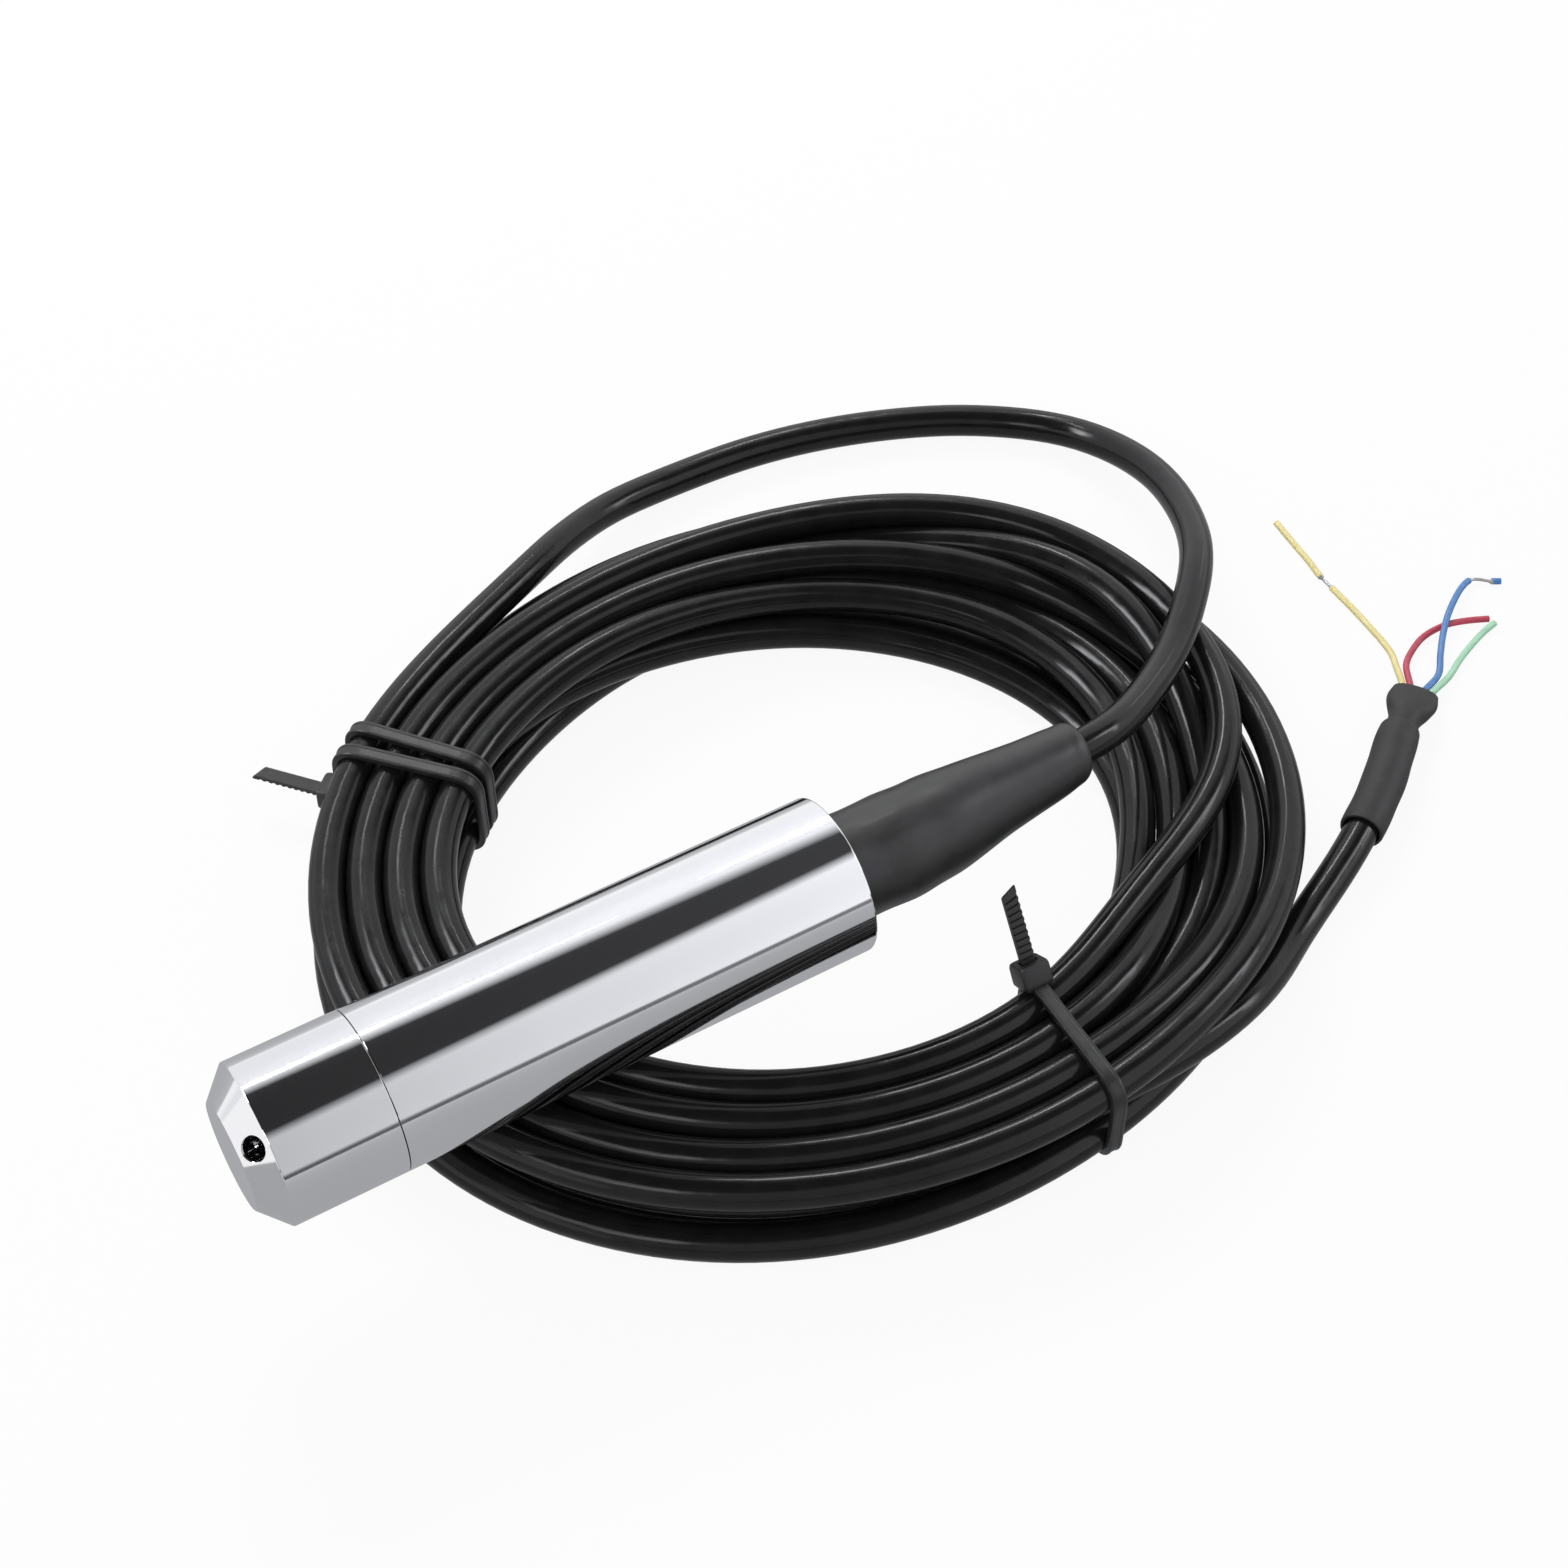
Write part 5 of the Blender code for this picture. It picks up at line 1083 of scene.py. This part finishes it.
INSULATION = {
    "yellow": ((0.80, 0.68, 0.26), (0.86, 0.76, 0.34)),
    "red": ((0.50, 0.04, 0.08), (0.58, 0.06, 0.11)),
    "blue": ((0.06, 0.20, 0.52), (0.09, 0.26, 0.60)),
    "green": ((0.36, 0.70, 0.46), (0.44, 0.77, 0.54)),
}
MATERIALS = {name: turned_steel(name, *look) for name, look in STEELS.items()}
MATERIALS.update({name: moulded(name, *look) for name, look in MOULDED.items()})
MATERIALS.update({"insulation_" + colour: insulation(colour, *look)
                  for colour, look in INSULATION.items()})

for thing, finish in ((cable, "cable_jacket"), (nose_cap, "polished_steel"),
                      (housing, "polished_steel"), (boot, "boot_polymer"),
                      (sleeve, "sleeve_polymer"), (breakout, "sleeve_polymer"),
                      *((tie, "tie_nylon") for tie in ties)):
    thing.data.materials.clear()
    thing.data.materials.append(MATERIALS[finish])
for (wire, _), (colour, *_) in zip(conductors, CONDUCTORS):
    wire.data.materials.append(MATERIALS["insulation_" + colour])

# Every CAD node that stays in view keeps its shape and takes the finish of its slot
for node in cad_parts.values():
    for slot in node.material_slots:
        slot.material = MATERIALS[slot.material.name.split(".")[0]]


# ---- stage and light

FLOOR_REACH = 3000.0


def bare_material(name):
    made = bpy.data.materials.new(name)
    made.use_nodes = True
    made.node_tree.nodes.clear()
    return made, made.node_tree


def seen_directly(tree):
    """1 for the camera, reflections and glass, 0 for all other light."""
    path = add_node(tree, "LightPath", {}).outputs
    seen = path["Is Camera Ray"]
    for other in ("Is Glossy Ray", "Is Transmission Ray"):
        seen = add_node(tree, "Math", {0: seen, 1: path[other]}, operation="MAXIMUM").outputs[0]
    return seen


def stage_material(name, colour, own_light, seen):
    """A matt surface that the camera and reflections see partly by its own light."""
    made, tree = bare_material(name)
    matt = add_node(tree, "BsdfDiffuse", {"Color": (*colour, 1)})
    glow = add_node(tree, "Emission", {"Color": (*own_light, 1)})
    share = add_node(tree, "Math", {0: seen_directly(tree), 1: seen}, operation="MULTIPLY")
    mix = add_node(tree, "MixShader", {0: share.outputs[0], 1: matt.outputs[0],
                                       2: glow.outputs[0]})
    add_node(tree, "OutputMaterial", {"Surface": mix.outputs[0]})
    return made


def build_floor():
    corners = ((-1, -1), (1, -1), (1, 1), (-1, 1))
    floor = add_mesh("floor", [(x * FLOOR_REACH, y * FLOOR_REACH, FLOOR - 0.02)
                               for x, y in corners], [(0, 1, 2, 3)], False)
    floor.data.materials.append(stage_material("floor", (0.86, 0.86, 0.87), (1.0, 1.0, 1.0), 0.92))


# What the polished steel mirrors: four plain cards on one curved screen round the probe, each as
# edges in degrees from up toward -Y, for the nose and for the rear, then its lights for them
SCREEN_REACH = 1100.0
SCREEN_SEEN = (148.0, 464.0)
SCREEN_RUN_ON = 90.0
SCREEN_LEAN = 0.28
DARKEST = 0.02
SCREEN_ENDS = (-1500.0, 1800.0)
SCREEN_CARDS = (
    ((-90.0, -42.0), (-80.0, -32.0), 0.9, 1.0),      # white card behind
    ((-30.0, 25.0), (-16.0, 16.0), 0.03, 0.05),      # black flag overhead
    ((36.0, 84.0), (28.0, 85.0), 0.6, 1.0),          # grey card in front, lit from the rear
    ((88.0, 92.0), (87.0, 92.0), 0.1, 0.2),          # thin flag along the table's front edge
)

# Painted reflection under the object: a grey sheet that only reflections see in place of the
# floor, darkest beneath the probe: (distance from the probe's axis, light)
PAINTED_REFLECTION_TONES = ((-1100.0, 0.6), (0.0, 0.4), (1100.0, 1.0))
PAINTED_REFLECTION_ENDS = (-240.0, 1800.0)

# Painted dark reflection, a strip behind the probe that only reflections see: how far behind, its
# lower edge, (x, upper edge), and its light
STRIP_BEHIND = 40.0
STRIP_FOOT = -12.0
STRIP_TOP = ((-20.0, 11.0), (165.0, 18.5))
STRIP_LIGHT = 0.1
STUDIO_TINT = (0.975, 0.985, 1.02)

# Soft lights just inside the screen: (name, angles, x from, x to, light)
SOFT_LIGHTS = (
    ("back_light", (-70.0, -40.0), -150.0, 2100.0, 30.0),
    ("left_light", (-66.0, -26.0), -1500.0, -100.0, 14.0),
    ("right_light", (0.0, 66.0), 1000.0, 2500.0, 7.5),
    ("front_light", (30.0, 66.0), -1250.0, -350.0, 3.0),
)
SOFT_EDGE = 0.35


def reflected_only(name, rows, lights, one_sided=False):
    """A glowing surface from rows of points, each point with its light, that only gloss sees."""
    card = add_mesh(name, [point for row in rows for point in row],
                    grid_faces(len(rows), len(rows[0]), ring=False))
    tones = card.data.color_attributes.new("light", "FLOAT_COLOR", "POINT")
    tones.data.foreach_set("color", [c for row in lights for light in row
                                     for c in (*(light * t for t in STUDIO_TINT), 1.0)])
    made, tree = bare_material(name)
    tone = add_node(tree, "Attribute", {}, attribute_name="light")
    surface = add_node(tree, "Emission", {"Color": tone.outputs["Color"]})
    if one_sided:
        behind = add_node(tree, "NewGeometry", {}).outputs["Backfacing"]
        clear = add_node(tree, "BsdfTransparent", {})
        surface = add_node(tree, "MixShader", {0: behind, 1: surface.outputs[0],
                                               2: clear.outputs[0]})
    add_node(tree, "OutputMaterial", {"Surface": surface.outputs[0]})
    card.data.materials.append(made)
    for sight in ("camera", "diffuse", "shadow", "transmission"):
        setattr(card, "visible_" + sight, False)


def screen_tones(x):
    """The edges of the cards and their lights at a place along the probe."""
    start, end = SCREEN_SEEN
    share = min(1 + SCREEN_LEAN, max(-SCREEN_LEAN, (x - start) / (end - start)))
    angles, lights = [], []
    for nose_edges, rear_edges, nose_light, rear_light in SCREEN_CARDS:
        for nose_edge, rear_edge in zip(nose_edges, rear_edges):
            angles.append(nose_edge + (rear_edge - nose_edge) * share)
            lights.append(max(DARKEST, nose_light + (rear_light - nose_light) * share))
    return angles, lights


def around(x, angle, reach):
    """The point at an angle from up toward -Y, at a reach from the probe's axis."""
    turn = math.radians(angle)
    return x, -reach * math.sin(turn), reach * math.cos(turn)


def build_screen():
    """The flags and white cards of a product shot, as one screen along the probe."""
    start, end = SCREEN_SEEN
    points, lights = [], []
    for x in (SCREEN_ENDS[0], start - SCREEN_RUN_ON, start, end, end + SCREEN_RUN_ON,
              SCREEN_ENDS[1]):
        angles, tones = screen_tones(x)
        points.append([around(x, angle, SCREEN_REACH) for angle in angles])
        lights.append(tones)
    reflected_only("screen", points, lights)


def build_low_cards():
    """A painted reflection under the object, grey and darkest beneath the probe, and a painted
    dark reflection in a strip behind the probe.
    """
    points = [[(x, y, FLOOR + 0.05) for y, _ in PAINTED_REFLECTION_TONES] for x in PAINTED_REFLECTION_ENDS]
    # painted reflection: a grey tone under the object that only reflections see, darkest beneath
    # the probe
    reflected_only("painted_table_reflection", points, [[light for _, light in PAINTED_REFLECTION_TONES]] * 2)
    rows = [[(x, STRIP_BEHIND, STRIP_FOOT), (x, STRIP_BEHIND, top)] for x, top in STRIP_TOP]
    # painted dark reflection: a strip behind the probe that only reflections see
    reflected_only("painted_dark_reflection_strip", rows, [[STRIP_LIGHT] * 2] * len(rows), one_sided=True)


def smooth_step(share):
    share = np.clip(share, 0, 1)
    return share * share * (3 - 2 * share)


def build_soft_light(name, angles, near, far, light):
    """A light just inside the screen for the gloss on the cable, lost in it at its edges."""
    along, across = np.linspace(0, 1, 13), np.linspace(0, 1, 9)
    ends = smooth_step(np.minimum(along, 1 - along) / SOFT_EDGE)
    sides = smooth_step(np.minimum(across, 1 - across) / SOFT_EDGE)
    points, lights = [], []
    for x, end in zip(near + (far - near) * along, ends):
        turns = angles[0] + (angles[1] - angles[0]) * across
        own = np.interp(turns, *screen_tones(x))
        points.append([around(x, turn, SCREEN_REACH - 10) for turn in turns])
        lights.append(list(own + (light - own) * end * sides))
    reflected_only(name, points, lights)


def build_world():
    """White for the camera and for reflections; a plain soft level for everything else."""
    world = bpy.data.worlds.new("studio")
    bpy.context.scene.world = world
    world.use_nodes = True
    tree = world.node_tree
    tree.nodes.clear()
    level = spread(tree, seen_directly(tree), 0.5, 1.0, 0.0, 1.0)
    light = add_node(tree, "Background", {"Color": (1, 1, 1, 1), "Strength": level})
    add_node(tree, "OutputWorld", {"Surface": light.outputs[0]})


def add_lamp(name, place, aim, size, power):
    """A soft box, its place and aim in millimetres and its size in metres."""
    data = bpy.data.lights.new(name, "AREA")
    data.shape = "RECTANGLE"
    data.size, data.size_y = size
    data.energy = power
    lamp = add_object(name, data)
    place, aim = Vector(place) * MM, Vector(aim) * MM
    lamp.location = place
    lamp.rotation_euler = (aim - place).to_track_quat("-Z", "Y").to_euler()


build_floor()
build_world()
build_screen()
build_low_cards()
for soft_light in SOFT_LIGHTS:
    build_soft_light(*soft_light)
add_lamp("key", (300, 800, 670), (110, 20, -20), (0.5, 0.3), 6.0)
add_lamp("fill", (-600, -500, 900), (110, 20, -20), (0.9, 0.6), 3.5)

bpy.context.scene.view_settings.view_transform = "Standard"
